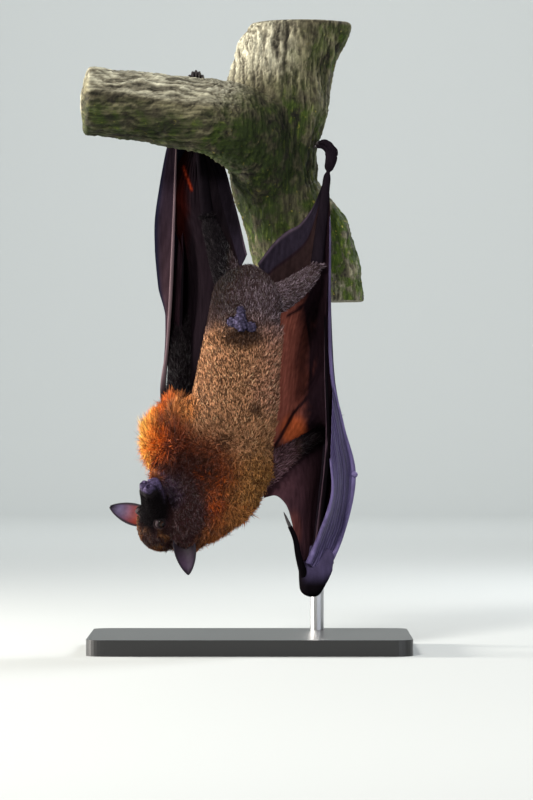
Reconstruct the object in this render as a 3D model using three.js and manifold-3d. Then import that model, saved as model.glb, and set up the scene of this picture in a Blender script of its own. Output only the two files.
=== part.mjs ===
// A large flying fox (Pteropus vampyrus), life size, hanging head down with folded wings from
// a forked branch that a plain stand holds up.
//
// Units are millimetres. +X is the animal's right, +Y is behind its back, +Z is up, and the
// origin is the middle of the underside of the stand's base. The solids reach to the tips of
// the coat, and neighbours keep a small gap.

import * as THREE from 'three';
import { mergeVertices } from 'three/addons/utils/BufferGeometryUtils.js';
import Module from 'manifold-3d';

const wasm = await Module();
wasm.setup();

// ---------------------------------------------------------------- driving dimensions

const GAP = 0.4;                  // clearance between neighbouring pieces
const MEMBRANE = 0.9;             // thickness of the wing and tail skin
const EAR_THICKNESS = 1.4;
const EYE_RADIUS = 5.8;
const TOES = 5;
const TOE_DROP = 1.2;             // how much lower a toe arches for each step from the middle one
const TOE_DROP_SHARES = [0, 0.4, 1, 1, 0];
const WELD = 1e-3;                // vertices nearer than this are one vertex
const FACET = 0.15;               // how far a facet may lie off the true cut

const at = (x, y, z) => new THREE.Vector3(x, y, z);
const between = (a, b, share) => a.clone().lerp(b, share);
const AXIS_X = at(1, 0, 0);
const AXIS_Z = at(0, 0, 1);

const STAND = { width: 320, depth: 236, height: 16, corner: 18, socketDepth: 10 };
const ROD = { radius: 7, x: 68, y: 84, top: 382 };

// Trunk and branch of the perch: centre, half-width and half-depth of each section.
const TRUNK_SECTIONS = [
  [74, 64, 310, 47, 46],
  [67, 62, 345, 49, 46],
  [62, 61, 370, 51, 46],
  [50, 60, 410, 52, 46],
  [37, 59, 438, 46, 45],
  [26, 58, 460, 42, 44],
  [21, 58, 500, 47, 44],
  [22, 56, 525, 52, 46],
  [27, 55, 550, 54, 48],
  [38, 57, 600, 49, 46],
  [58, 60, 634, 44, 44],
  [78, 64, 668, 42, 42],
];
const BRANCH_SECTIONS = [
  [-170, -28, 548, 34, 33],
  [-150, -27, 546.5, 33.5, 33],
  [-100, -24, 540, 35, 34],
  [-54, -21, 534, 36, 34],
  [-22, -8, 529, 40, 36],
  [6, 18, 512, 44, 36],
  [18, 42, 480, 40, 34],
  [24, 56, 450, 36, 34],
];
const TRUNK_ENDS = { bottom: 350, top: 632 };
const BRANCH_CUT = -168;

// Trunk of the animal, coat included, from the rump down to the back of the neck.
const TRUNK_OF_BODY = [
  [0, -20, 382, 13, 12],
  [-3, -24, 358, 33, 24],
  [-6, -28, 325, 37, 32],
  [-12, -30, 280, 40, 38],
  [-18, -30, 240, 45, 42],
  [-34, -28, 205, 61, 44],
  [-42, -27, 172, 60, 43],
  [-56, -29, 142, 45, 38],
  [-66, -31, 120, 29, 30],
  [-70, -32, 102, 14, 18],
];
const SHOULDER_MASSES = {
  left: { centre: at(-75, -20, 210), radii: at(33, 38, 38) },
  right: { centre: at(2, -22, 184), radii: at(20, 26, 26) },
};
const WAIST_CUT = 318;            // between the pelvis and the belly
const CHEST_CUT = 226;            // between the belly and the chest
const NECK_CUT = { through: at(-48, -28, 158), towardHead: at(-0.42, -0.1, -0.9).normalize() };

// The head turns to its own right and looks up: its three axes.
const HEAD = {
  centre: at(-93, -45, 130),
  forward: at(-0.18, -0.76, 0.62).normalize(),
  side: at(0.70, -0.55, -0.45).normalize(),
  crown: at(-0.683, -0.353, -0.631).normalize(),
};
// Distance forward of the head's centre, then height above, depth below and half-width.
const HEAD_SECTIONS = [
  [-34, 10, 10, 12],
  [-26, 18, 17, 19],
  [-12, 21, 21, 22.5],
  [0, 18, 22, 22],
  [11, 13, 21, 18],
  [20, 9, 20.5, 14.5],
  [30, 7, 20, 12],
  [40, 5.5, 21.5, 10.6],
  [49, 5, 20, 9.2],
  [55, 4, 15, 7],
];
const HEAD_TIP = 57.5;
const HEAD_NAPE = -38;
const EYES = { forward: 11, apart: 13.2, above: 4 };
const EAR = { width: 23, cup: 7 };
const EARS = {
  right: { root: at(-65.5, -50, 112), tip: at(-60.5, -61, 78), across: at(1, 0.2, 0.1) },
  left: { root: at(-107, -34, 134), tip: at(-139.7, -16, 143.7), across: at(0.25, 0.25, 0.95) },
};
// The bare sheath, with a low swelling on each side of it.
const GROIN = {
  sheath: [[-9, -54, 338, 5], [-9, -63, 327, 6.5], [-8, -67, 315, 4.5]],
  outer: { centre: at(-18, -61, 326), radii: at(7.5, 6, 5) },
  inner: { centre: at(2, -61, 321), radii: at(7.5, 6.5, 5.5) },
};

// Joints and fingertips of the two wings, which are folded differently.
const WINGS = {
  right: {
    shoulder: at(2, -22, 168),
    elbow: at(82, 56, 234),
    wrist: at(62, -11, 68),
    thumb: [at(54, -12, 74), at(48.5, -20, 94), at(45, -25, 112), at(39.5, -29, 125), at(33.5, -31, 139)],
    index: [at(58, -14, 86), at(69, -17, 114), at(82, -20, 156), at(80, -12, 192)],
    third: [
      at(72, -9, 74), at(91, 11, 112), at(103.5, 32, 174),
      at(93, 20, 225), at(82, 5, 275), at(80, 0, 435),
    ],
    fourth: [at(67, -6, 82), at(88, 16, 200), at(82, 9, 288), at(79, 5, 383)],
    fifth: [at(65, -5, 84), at(78, 5, 205), at(76, 0, 270), at(75, -2, 335)],
  },
  left: {
    shoulder: at(-70, -10, 222),
    elbow: at(-67, 42, 333),
    wrist: at(-52, 62, 139),
    thumb: [at(-56, 58, 150), at(-60, 52, 168), at(-63, 48, 184), at(-64, 46, 194), at(-64, 44, 204)],
    index: [at(-55, 57, 152), at(-76, 36, 225), at(-83, 25, 252), at(-84, 22, 262)],
    third: [
      at(-58, 57, 155), at(-72, 40, 202), at(-87, 22, 252),
      at(-83, 23, 305), at(-79.5, 24, 360), at(-74, 30, 512),
    ],
    fourth: [at(-56, 58, 155), at(-80, 36, 270), at(-77, 35, 358), at(-67, 37, 470)],
    fifth: [at(-54, 59, 156), at(-71, 31, 270), at(-69, 27, 335), at(-67, 27, 400)],
  },
};
// Joints of the legs. The toes lie side by side along `spread` and follow one arch.
const LEGS = {
  right: {
    thigh: [at(4, -16, 346), at(28, -12, 352), at(50, -6, 366), at(66, 0, 381)],
    ankle: at(78, 18, 480),
    instep: at(81, 23, 490),
    knuckles: at(82.5, 28, 499),
    toeArch: [at(81.5, 31, 503), at(77, 34, 510), at(70.5, 36, 510.5), at(67.5, 37, 504)],
    spread: at(0.6, 0.8, 0.05),
    toeSpacing: 3.6,
  },
  left: {
    thigh: [at(-12, -14, 350), at(-22, -10, 374), at(-32, -4, 402), at(-42, 2, 430)],
    ankle: at(-53, 29, 519),
    instep: at(-53, 28, 535),
    knuckles: at(-53.5, 26, 550),
    toeArch: [at(-53.5, 23, 558), at(-54, 15, 573), at(-54, 3, 579), at(-54, -7, 570.5)],
    spread: at(1, 0.05, 0),
    toeSpacing: 3.2,
  },
};
// Distance along the wrist, then half-width and half-depth.
const WRIST_SECTIONS = [[-15, 9, 6.5], [-7, 12, 8], [3, 15, 8], [13, 17.5, 6], [18, 18, 4]];

// How far the wing's trailing edge bows out between the fifth fingertip and the ankle.
const TRAILING_EDGE_BOW = { right: at(4, 0, 0), left: at(-22, 6, 0) };
// Where the wing skin leaves the flank, and how far each rib of it sags backward.
const FLANK = {
  right: { leaves: [at(20, -14, 225), at(24, -16, 270), at(27, -16, 315)], sags: [30, 38, 28, 6] },
  left: { leaves: [at(-54, -14, 250), at(-44, -16, 290), at(-36, -14, 335)], sags: [22, 26, 20, 6] },
};
// Free edge of the skin in front of the arm, from the shoulder to the thumb's root.
const FORE_EDGE = {
  right: [
    at(14, -27, 153), at(26, -27, 155), at(36, -26, 146),
    at(42, -24, 128), at(45, -20, 108), at(50, -15, 88),
  ],
  left: [
    at(-80, 0, 205), at(-78, 14, 196), at(-74, 28, 186),
    at(-70, 40, 176), at(-66, 48, 166), at(-60, 56, 154),
  ],
};
// Free edge of the tail skin, from the crotch to the ankle.
const TAIL_EDGE = {
  right: [
    at(8, -21, 386), at(25, -12, 408), at(39, -4, 420),
    at(49, 2, 425.5), at(62, 9, 442), at(74.5, 16, 471),
  ],
  left: [
    at(-3, -16, 395), at(-7, -9, 412), at(-11, -2, 430),
    at(-18, 8, 457), at(-27, 18, 487), at(-44, 26, 512),
  ],
};
// How many joints of the third finger the skin before the index finger reaches along.
const JOINTS_BEFORE_INDEX = { right: 5, left: 3 };
// The left wing's outer fold stands off the third finger to the side: [height, bulge].
const OUTER_FOLD = [
  [270, 3], [300, 3], [335, 5], [362, 14], [400, 20], [430, 22], [470, 19], [506, 14],
];

const FINGERS = {
  thumb: { name: 'thumb', rings: 6 },
  index: { name: 'index_finger', rings: 6 },
  third: { name: 'third_finger', rings: 10 },
  fourth: { name: 'fourth_finger', rings: 6 },
  fifth: { name: 'fifth_finger', rings: 6 },
};

// Half-thicknesses of the limbs, first to last joint.
const LIMB = {
  upperArm: [15, 13, 11, 9],
  forearm: [8.5, 9, 6.5, 5.5],
  thigh: [17, 16, 12.5, 8.5],
  shank: [7.5, 6.2, 4.6],
  thumb: [4.5, 3.4, 2.8, 2.4, 0.9],
  index: [4, 2.6, 1.9, 0.9],
  third: [4.2, 2.6, 3.4, 1.9, 2.2, 1.1],
  fourth: [3.8, 3, 2, 1.1],
  fifth: [3.8, 3, 2, 1.1],
  toe: [2.6, 2.7, 2.6, 2, 0.9],
};

const COLOURS = {
  belly: ['#8a6440', 0.95],
  pelvis: ['#5d4c4a', 0.95],
  mantle: ['#a8471a', 0.95],
  face: ['#2a1d1c', 0.8],
  ear: ['#3c2b33', 0.6],
  eye: ['#1d100b', 0.08],
  armFur: ['#3a2a26', 0.95],
  limb: ['#2b2228', 0.55],
  membrane: ['#4b3338', 0.5],
  bareSkin: ['#5b5468', 0.45],
  bark: ['#6a6a58', 0.95],
  base: ['#2b2b2b', 0.5],
  steel: ['#9a9a9a', 0.35],
};

// ---------------------------------------------------------------- making shapes

/** Turns a three.js geometry into a solid with its faces pointing out. */
function solidOf(geometry) {
  const bare = new THREE.BufferGeometry();
  bare.setAttribute('position', geometry.attributes.position);
  bare.setIndex(geometry.index);
  const welded = mergeVertices(bare, WELD);
  const points = welded.attributes.position;
  const faces = Array.from(welded.index.array);
  const corners = [at(0, 0, 0), at(0, 0, 0), at(0, 0, 0)];
  const kept = [];
  let volume = 0;
  for (let face = 0; face < faces.length; face += 3) {
    const [a, b, c] = faces.slice(face, face + 3);
    if (a === b || b === c || c === a) continue;
    corners.forEach((corner, index) => corner.fromBufferAttribute(points, faces[face + index]));
    volume += corners[0].dot(corners[1].clone().cross(corners[2]));
    kept.push(a, b, c);
  }
  if (volume < 0) kept.reverse();
  const mesh = new wasm.Mesh({
    numProp: 3,
    vertProperties: Float32Array.from(points.array),
    triVerts: Uint32Array.from(kept),
  });
  return new wasm.Manifold(mesh);
}

function geometryOf(solid) {
  const mesh = solid.getMesh();
  const geometry = new THREE.BufferGeometry();
  geometry.setAttribute('position', new THREE.BufferAttribute(mesh.vertProperties, 3));
  geometry.setIndex(new THREE.BufferAttribute(mesh.triVerts, 1));
  return geometry;
}

/** The curves through the centres of sections and through their sizes, in step with each other. */
function sectionCurves(sections) {
  const centres = sections.map(([x, y, z]) => at(x, y, z));
  const sizes = sections.map(([, , , wide, deep]) => at(wide, deep ?? wide, 0));
  return {
    centre: new THREE.CatmullRomCurve3(centres, false, 'centripetal'),
    size: new THREE.CatmullRomCurve3(sizes, false, 'centripetal'),
  };
}

/** 0 at the tips of a body and 1 along it: a quarter ellipse over the `cap` at each end. */
function roundedEnd(share, cap) {
  const toEnd = Math.min(share, 1 - share);
  if (toEnd >= cap) return 1;
  return Math.sqrt(Math.max(0, 1 - (1 - toEnd / cap) ** 2));
}

/**
 * A closed body along sections [x, y, z, half-width, half-depth], with rounded ends. The rings
 * lie a little closer together near the ends, where the body curves most.
 */
function limb(sections, { sides = 10, rings = 8, across = AXIS_X, cap = 0.08, grow = 0, relief } = {}) {
  const { centre, size } = sectionCurves(sections);
  const shape = new THREE.SphereGeometry(1, sides, rings);
  const grid = shape.attributes.position;
  const growAlong = grow / centre.getLength();
  for (let ring = 0; ring <= rings; ring++) {
    const even = ring / rings;
    const share = 0.6 * even + 0.2 * (1 - Math.cos(Math.PI * even));
    const tangent = centre.getTangent(share);
    const middle = centre.getPoint(share).addScaledVector(tangent, (2 * share - 1) * grow);
    const wideWay = across.clone().addScaledVector(tangent, -across.dot(tangent)).normalize();
    const deepWay = tangent.clone().cross(wideWay);
    const half = size.getPoint(share);
    const closing = roundedEnd(share, cap + growAlong);
    for (let side = 0; side <= sides; side++) {
      const angle = (2 * Math.PI * (side % sides)) / sides;
      const bark = relief ? relief(share, angle) : 1;
      const wide = (half.x * bark + grow) * closing * Math.cos(angle);
      const deep = (half.y * bark + grow) * closing * Math.sin(angle);
      const spot = middle.clone().addScaledVector(wideWay, wide).addScaledVector(deepWay, deep);
      grid.setXYZ(ring * (sides + 1) + side, spot.x, spot.y, spot.z);
    }
  }
  return solidOf(shape);
}

/** A limb through joints, with one half-thickness for each joint. */
function jointed(joints, thicknesses, options) {
  return limb(joints.map((joint, index) => [joint.x, joint.y, joint.z, thicknesses[index]]), options);
}

function ellipsoid(centre, radii, grow, sides = 10, rings = 6) {
  const ball = new THREE.SphereGeometry(1, sides, rings);
  ball.scale(radii.x + grow, radii.y + grow, radii.z + grow);
  ball.translate(centre.x, centre.y, centre.z);
  return solidOf(ball);
}

/** Which way the edge of a sheet faces at a share of 0 or 1, and 0 between its edges. */
function pastEdge(share) {
  if (share < WELD) return -1;
  return share > 1 - WELD ? 1 : 0;
}

/** A slab whose back face is split along the same diagonals as its front, so they never cross. */
function slab(across, along) {
  const shape = new THREE.BoxGeometry(1, 1, 1, across, along, 1);
  const back = shape.groups[5];
  for (let start = back.start; start < back.start + back.count; start += 6) {
    const [a, b, d, , c] = shape.index.array.slice(start, start + 5);
    shape.index.set([a, b, c, a, c, d], start);
  }
  return shape;
}

/** A sheet of even thickness over pointAt(u, v), with u and v from 0 to 1. */
function sheet(pointAt, { across, along, thickness = MEMBRANE, grow = 0 }) {
  const shape = slab(across, along);
  const grid = shape.attributes.position;
  const step = 0.01;
  for (let index = 0; index < grid.count; index++) {
    const u = grid.getX(index) + 0.5;
    const v = grid.getY(index) + 0.5;
    const before = [Math.max(0, u - step), Math.max(0, v - step)];
    const after = [Math.min(1, u + step), Math.min(1, v + step)];
    const overU = pointAt(after[0], v).sub(pointAt(before[0], v));
    const overV = pointAt(u, after[1]).sub(pointAt(u, before[1]));
    const normal = overU.clone().cross(overV).normalize();
    const spot = pointAt(u, v)
      .addScaledVector(normal, grid.getZ(index) * (thickness + 2 * grow))
      .addScaledVector(overU.normalize(), pastEdge(u) * grow)
      .addScaledVector(overV.normalize(), pastEdge(v) * grow);
    grid.setXYZ(index, spot.x, spot.y, spot.z);
  }
  return solidOf(shape);
}

/**
 * Skin stretched over ribs {from, to, sag}. The sag pushes the skin off the straight line, most
 * at the `fullest` share of the way across.
 */
function skinOver(ribs, { fullest = 0.5, ...options }) {
  const from = new THREE.CatmullRomCurve3(ribs.map((rib) => rib.from), false, 'centripetal');
  const to = new THREE.CatmullRomCurve3(ribs.map((rib) => rib.to), false, 'centripetal');
  const sag = new THREE.CatmullRomCurve3(ribs.map((rib) => rib.sag ?? at(0, 0, 0)));
  const skew = Math.log(0.5) / Math.log(fullest);
  const pointAt = (u, v) => {
    const fullness = Math.sin(Math.PI * u ** skew);
    return from.getPoint(v).lerp(to.getPoint(v), u).addScaledVector(sag.getPoint(v), fullness);
  };
  return sheet(pointAt, options);
}

/** The largest of the bodies that a cut leaves, without its tiniest facets. */
function largest(solid) {
  const bodies = solid.simplify(FACET).decompose();
  return bodies.reduce((best, body) => (body.volume() > best.volume() ? body : best));
}

const model = new THREE.Group();
const placed = [];                // each finished shape, grown by the gap, cuts the later ones

function boxesMeet(one, other) {
  const a = one.boundingBox();
  const b = other.boundingBox();
  return [0, 1, 2].every((axis) => a.min[axis] <= b.max[axis] && b.min[axis] <= a.max[axis]);
}

function clearOfPlaced(solid) {
  const cutters = placed.filter((earlier) => boxesMeet(solid, earlier));
  return cutters.reduce((rest, cutter) => rest.subtract(cutter), solid);
}

function addNode(name, colour, solid) {
  const [color, roughness] = COLOURS[colour];
  const material = new THREE.MeshStandardMaterial({ color, roughness });
  const mesh = new THREE.Mesh(geometryOf(solid), material);
  mesh.name = name;
  model.add(mesh);
}

/** Adds the shape that make(0) gives, cut clear of everything placed before it. */
function place(name, colour, make) {
  addNode(name, colour, largest(clearOfPlaced(make(0))));
  placed.push(make(GAP));
}

// ---------------------------------------------------------------- perch and stand

/** Long low ridges that run along the wood and drift round it. */
const barkRelief = (share, angle) => 1
  + 0.030 * Math.sin(3 * angle + 7 * share)
  + 0.018 * Math.sin(7 * angle - 9 * share);

function perchTrunk(grow) {
  const wood = limb(TRUNK_SECTIONS, { sides: 16, rings: 13, cap: 0.001, relief: barkRelief, grow });
  return wood.trimByPlane([0, 0, 1], TRUNK_ENDS.bottom - grow)
    .trimByPlane([0, 0, -1], -TRUNK_ENDS.top - grow);
}

function perchBranch(grow) {
  const wood = limb(BRANCH_SECTIONS, {
    sides: 14, rings: 11, cap: 0.001, across: AXIS_Z, relief: barkRelief, grow,
  });
  return wood.trimByPlane([1, 0, 0], BRANCH_CUT - grow);
}

function uprightRod(radius, bottom, top) {
  const rod = new THREE.CylinderGeometry(radius, radius, top - bottom, 12);
  rod.rotateX(Math.PI / 2);
  rod.translate(ROD.x, ROD.y, (top + bottom) / 2);
  return solidOf(rod);
}

function standBase() {
  const { width, depth, corner, height } = STAND;
  const x = width / 2;
  const y = depth / 2;
  const outline = new THREE.Shape();
  outline.moveTo(-x + corner, -y);
  outline.lineTo(x - corner, -y);
  outline.absarc(x - corner, -y + corner, corner, -Math.PI / 2, 0);
  outline.absarc(x - corner, y - corner, corner, 0, Math.PI / 2);
  outline.absarc(-x + corner, y - corner, corner, Math.PI / 2, Math.PI);
  outline.absarc(-x + corner, -y + corner, corner, Math.PI, 1.5 * Math.PI);
  const plate = new THREE.ExtrudeGeometry(outline, {
    depth: height, bevelEnabled: false, curveSegments: 4,
  });
  const socket = uprightRod(ROD.radius + GAP, height - STAND.socketDepth, height + 1);
  return solidOf(plate).subtract(socket);
}

function buildPerchAndStand() {
  const rodBottom = STAND.height - STAND.socketDepth + GAP;
  const rod = (grow) => uprightRod(ROD.radius + grow, rodBottom - grow, ROD.top + grow);
  place('stand_rod', 'steel', rod);
  addNode('stand_base', 'base', standBase());
  place('perch_trunk', 'bark', perchTrunk);
  place('perch_branch', 'bark', perchBranch);
}

// ---------------------------------------------------------------- head

function headPoint(forward, side, up) {
  return HEAD.centre.clone()
    .addScaledVector(HEAD.forward, forward)
    .addScaledVector(HEAD.side, side)
    .addScaledVector(HEAD.crown, up);
}

/** The skull's outline with its fur: sections with a height above and a depth below the axis. */
function skull(grow) {
  const sides = 13;
  const rings = 13;
  const stops = new THREE.CatmullRomCurve3(HEAD_SECTIONS.map(([s, up, down]) => at(s, up, down)));
  const widths = new THREE.CatmullRomCurve3(HEAD_SECTIONS.map(([s, , , wide]) => at(s, wide, 0)));
  const shape = new THREE.SphereGeometry(1, sides, rings);
  const grid = shape.attributes.position;
  for (let ring = 0; ring <= rings; ring++) {
    const share = Math.min(1, Math.max(0, (ring - 1) / (rings - 2)));
    const pole = ring === 0 || ring === rings;
    const stop = stops.getPoint(share);
    const wide = widths.getPoint(share).y;
    let forward = stop.x + grow * (2 * share - 1);
    if (ring === 0) forward = HEAD_NAPE - grow;
    if (ring === rings) forward = HEAD_TIP + grow;
    for (let side = 0; side <= sides; side++) {
      const angle = (2 * Math.PI * (side % sides)) / sides;
      const tall = (Math.sin(angle) > 0 ? stop.y : stop.z) + grow;
      const reach = pole ? 0 : 1;
      const sideways = reach * (wide + grow) * Math.cos(angle);
      const spot = headPoint(forward, sideways, reach * tall * Math.sin(angle));
      grid.setXYZ(ring * (sides + 1) + side, spot.x, spot.y, spot.z);
    }
  }
  return solidOf(shape);
}

function eye(sign, grow) {
  const centre = headPoint(EYES.forward, sign * EYES.apart, EYES.above);
  const radius = EYE_RADIUS;
  return ellipsoid(centre, at(radius, radius, radius), grow, 9, 6);
}

/** A pointed leaf, cupped across, from its root in the fur to its tip. */
function ear({ root, tip, across }, grow) {
  const axis = tip.clone().sub(root);
  const away = axis.clone().normalize();
  const sideways = across.clone().addScaledVector(away, -across.dot(away)).normalize();
  const hollow = away.clone().cross(sideways);
  if (hollow.y < 0) hollow.negate();
  const pointAt = (u, v) => {
    const half = (EAR.width / 2) * Math.sqrt(Math.sin(Math.PI * (0.30 + 0.68 * v)));
    const offset = (2 * u - 1) * half;
    const cup = EAR.cup * (1 - (2 * u - 1) ** 2) * (1 - 0.75 * v);
    return root.clone().addScaledVector(axis, v)
      .addScaledVector(sideways, offset)
      .addScaledVector(hollow, cup);
  };
  return sheet(pointAt, { across: 4, along: 5, thickness: EAR_THICKNESS, grow });
}

function buildHead() {
  place('eye_right', 'eye', (grow) => eye(1, grow));
  place('eye_left', 'eye', (grow) => eye(-1, grow));
  place('head', 'face', skull);
}

// ---------------------------------------------------------------- trunk of the body

function torso(grow) {
  const masses = Object.values(SHOULDER_MASSES)
    .map(({ centre, radii }) => ellipsoid(centre, radii, grow));
  const core = limb(TRUNK_OF_BODY, { sides: 16, rings: 15, cap: 0.05, grow });
  return masses.reduce((whole, mass) => whole.add(mass), core);
}

/** The trunk is parted by three thin cuts: pelvis, belly, chest and neck. */
function buildTrunkOfBody() {
  const whole = clearOfPlaced(torso(0));
  const half = GAP / 2;
  const above = (solid, height) => solid.trimByPlane([0, 0, 1], height + half);
  const below = (solid, height) => solid.trimByPlane([0, 0, -1], -height + half);
  const normal = NECK_CUT.towardHead;
  const reach = normal.dot(NECK_CUT.through);
  const chest = below(whole, CHEST_CUT);
  addNode('pelvis', 'pelvis', largest(above(whole, WAIST_CUT)));
  addNode('belly', 'belly', largest(below(above(whole, CHEST_CUT), WAIST_CUT)));
  addNode('chest', 'mantle', largest(chest.trimByPlane(normal.clone().negate().toArray(), -reach + half)));
  addNode('neck', 'mantle', largest(chest.trimByPlane(normal.toArray(), reach + half)));
  placed.push(torso(GAP));
}

function groin(grow) {
  const sheath = limb(GROIN.sheath, { grow, sides: 6, rings: 5, cap: 0.3 });
  const swellings = [GROIN.outer, GROIN.inner]
    .map(({ centre, radii }) => ellipsoid(centre, radii, grow, 6, 4));
  return swellings.reduce((whole, swelling) => whole.add(swelling), sheath);
}

// ---------------------------------------------------------------- limbs

function foot(leg, grow) {
  const spread = leg.spread.clone().normalize();
  const { ankle, instep, knuckles, toeArch, toeSpacing } = leg;
  const web = toeSpacing * (TOES - 1) / 2;
  const sole = limb([
    [ankle.x, ankle.y, ankle.z, 5, 4.6],
    [instep.x, instep.y, instep.z, web, 5],
    [knuckles.x, knuckles.y, knuckles.z, web + 2.4, 4.4],
  ], { sides: 6, rings: 5, across: spread, cap: 0.15, grow });
  const toeRoot = between(instep, knuckles, 0.6);
  let whole = sole;
  for (let toe = 0; toe < TOES; toe++) {
    const fromMiddle = toe - (TOES - 1) / 2;
    const joints = [toeRoot, ...toeArch].map((joint, index) => {
      const drop = TOE_DROP * TOE_DROP_SHARES[index] * fromMiddle ** 2;
      return joint.clone().addScaledVector(spread, fromMiddle * toeSpacing).add(at(0, 0, -drop));
    });
    whole = whole.add(jointed(joints, LIMB.toe, { sides: 4, rings: 5, across: spread, cap: 0.12, grow }));
  }
  return whole;
}

function buildLeg(side) {
  const leg = LEGS[side];
  const knee = leg.thigh[3];
  const shank = [knee, between(knee, leg.ankle, 0.5), leg.ankle];
  place(`thigh_${side}`, 'pelvis',
    (grow) => jointed(leg.thigh, LIMB.thigh, { across: AXIS_Z, rings: 7, grow }));
  place(`shank_${side}`, 'limb', (grow) => jointed(shank, LIMB.shank, { sides: 8, rings: 5, grow }));
  place(`foot_${side}`, 'limb', (grow) => foot(leg, grow));
}

/** The wedge of wrist bones, widest where the fingers leave it. */
function wristBlock(wing, grow) {
  const { wrist, third, fifth } = wing;
  const along = between(third[2], fifth[1], 0.5).sub(wrist).normalize();
  const sections = WRIST_SECTIONS.map(([distance, wide, deep]) => {
    const spot = wrist.clone().addScaledVector(along, distance);
    return [spot.x, spot.y, spot.z, wide, deep];
  });
  return limb(sections, { sides: 10, rings: 6, cap: 0.12, grow });
}

function buildArm(side) {
  const wing = WINGS[side];
  const { shoulder, elbow, wrist } = wing;
  const upper = [0, 0.35, 0.7, 1].map((share) => between(shoulder, elbow, share));
  const lower = [0, 0.2, 0.6, 1].map((share) => between(elbow, wrist, share));
  place(`upper_arm_${side}`, 'armFur',
    (grow) => jointed(upper, LIMB.upperArm, { across: AXIS_Z, sides: 9, rings: 5, grow }));
  place(`forearm_${side}`, 'limb',
    (grow) => jointed(lower, LIMB.forearm, { sides: 7, rings: 5, cap: 0.04, grow }));
  place(`wrist_${side}`, 'limb', (grow) => wristBlock(wing, grow));
}

function buildFingers(side) {
  const wing = WINGS[side];
  for (const [finger, { name, rings }] of Object.entries(FINGERS)) {
    place(`${name}_${side}`, 'limb',
      (grow) => jointed(wing[finger], LIMB[finger], { sides: 5, rings, cap: 0.02, grow }));
  }
}

// ---------------------------------------------------------------- wing and tail skin

/** Skin behind the arm: from the arm and the flank out to the fifth finger and on to the ankle. */
function armMembraneRibs(side) {
  const { shoulder, elbow, wrist, fifth } = WINGS[side];
  const { thigh, ankle } = LEGS[side];
  const knee = thigh[3];
  const [, knuckle, middle, tip] = fifth;
  const towardTip = (share) => between(middle, tip, share);
  const towardAnkle = (share) => between(tip, ankle, share)
    .addScaledVector(TRAILING_EDGE_BOW[side], Math.sin(Math.PI * share));
  const behindArm = (share) => between(elbow, shoulder, share).add(at(0, 7, 3));
  const arm = [
    { from: between(wrist, elbow, 0.08), to: between(wrist, knuckle, 0.14) },
    { from: between(wrist, elbow, 0.5), to: between(wrist, knuckle, 0.6) },
    { from: behindArm(0), to: knuckle },
    { from: behindArm(0.45), to: between(knuckle, middle, 0.5) },
    { from: behindArm(0.8), to: middle },
  ];
  const { leaves, sags } = FLANK[side];
  const starts = [...leaves, side === 'right' ? between(thigh[1], thigh[2], 0.5) : thigh[2]];
  const ends = [towardTip(0.35), towardTip(0.75), towardAnkle(0.06), towardAnkle(0.3)];
  const flank = starts.map((from, index) => ({ from, to: ends[index], sag: at(0, sags[index], 0) }));
  const leg = [
    { from: knee, to: towardAnkle(0.55) },
    { from: between(knee, ankle, 0.5), to: towardAnkle(0.8) },
    { from: between(knee, ankle, 0.93), to: towardAnkle(0.98) },
  ];
  return [...arm, ...flank, ...leg];
}

/** Skin in front of the arm: from the shoulder's free edge to the wrist, past the thumb's root. */
function foreMembraneRibs(side) {
  const { shoulder, elbow, wrist } = WINGS[side];
  const arm = [
    between(shoulder, elbow, 0.1), between(shoulder, elbow, 0.4), between(shoulder, elbow, 0.8),
    between(elbow, wrist, 0.1), between(elbow, wrist, 0.45), between(elbow, wrist, 0.85),
  ];
  return arm.map((spot, index) => ({ from: spot, to: FORE_EDGE[side][index] }));
}

/** Skin between two neighbouring fingers. */
function fingerMembraneRibs(near, far) {
  const nearCurve = new THREE.CatmullRomCurve3(near, false, 'centripetal');
  const farCurve = new THREE.CatmullRomCurve3(far, false, 'centripetal');
  return [0.14, 0.35, 0.55, 0.75, 0.97].map((share) => ({
    from: nearCurve.getPoint(share),
    to: farCurve.getPoint(share),
  }));
}

function outerFoldRibs({ third, fourth }) {
  const atHeight = (finger, height) => {
    const upper = finger.findIndex((joint, index) => index > 2 && joint.z >= height);
    const index = upper > 0 ? upper : finger.length - 1;
    const [below, above] = [finger[index - 1], finger[index]];
    return between(below, above, (height - below.z) / (above.z - below.z));
  };
  return OUTER_FOLD.map(([height, bulge]) => ({
    from: atHeight(fourth, height),
    to: atHeight(third, height),
    sag: at(-bulge, 0, 0),
  }));
}

/** Skin between the leg and the free edge that runs from the crotch to the ankle. */
function tailMembraneRibs(side) {
  const { thigh, ankle } = LEGS[side];
  const knee = thigh[3];
  const legLine = [
    between(thigh[0], thigh[1], 0.6), thigh[1], between(thigh[2], knee, 0.3), between(knee, ankle, 0.1),
    between(knee, ankle, 0.45), between(knee, ankle, 0.92),
  ];
  return legLine.map((spot, index) => {
    const to = TAIL_EDGE[side][index];
    return { from: between(spot, to, 0.1), to };
  });
}

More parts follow.
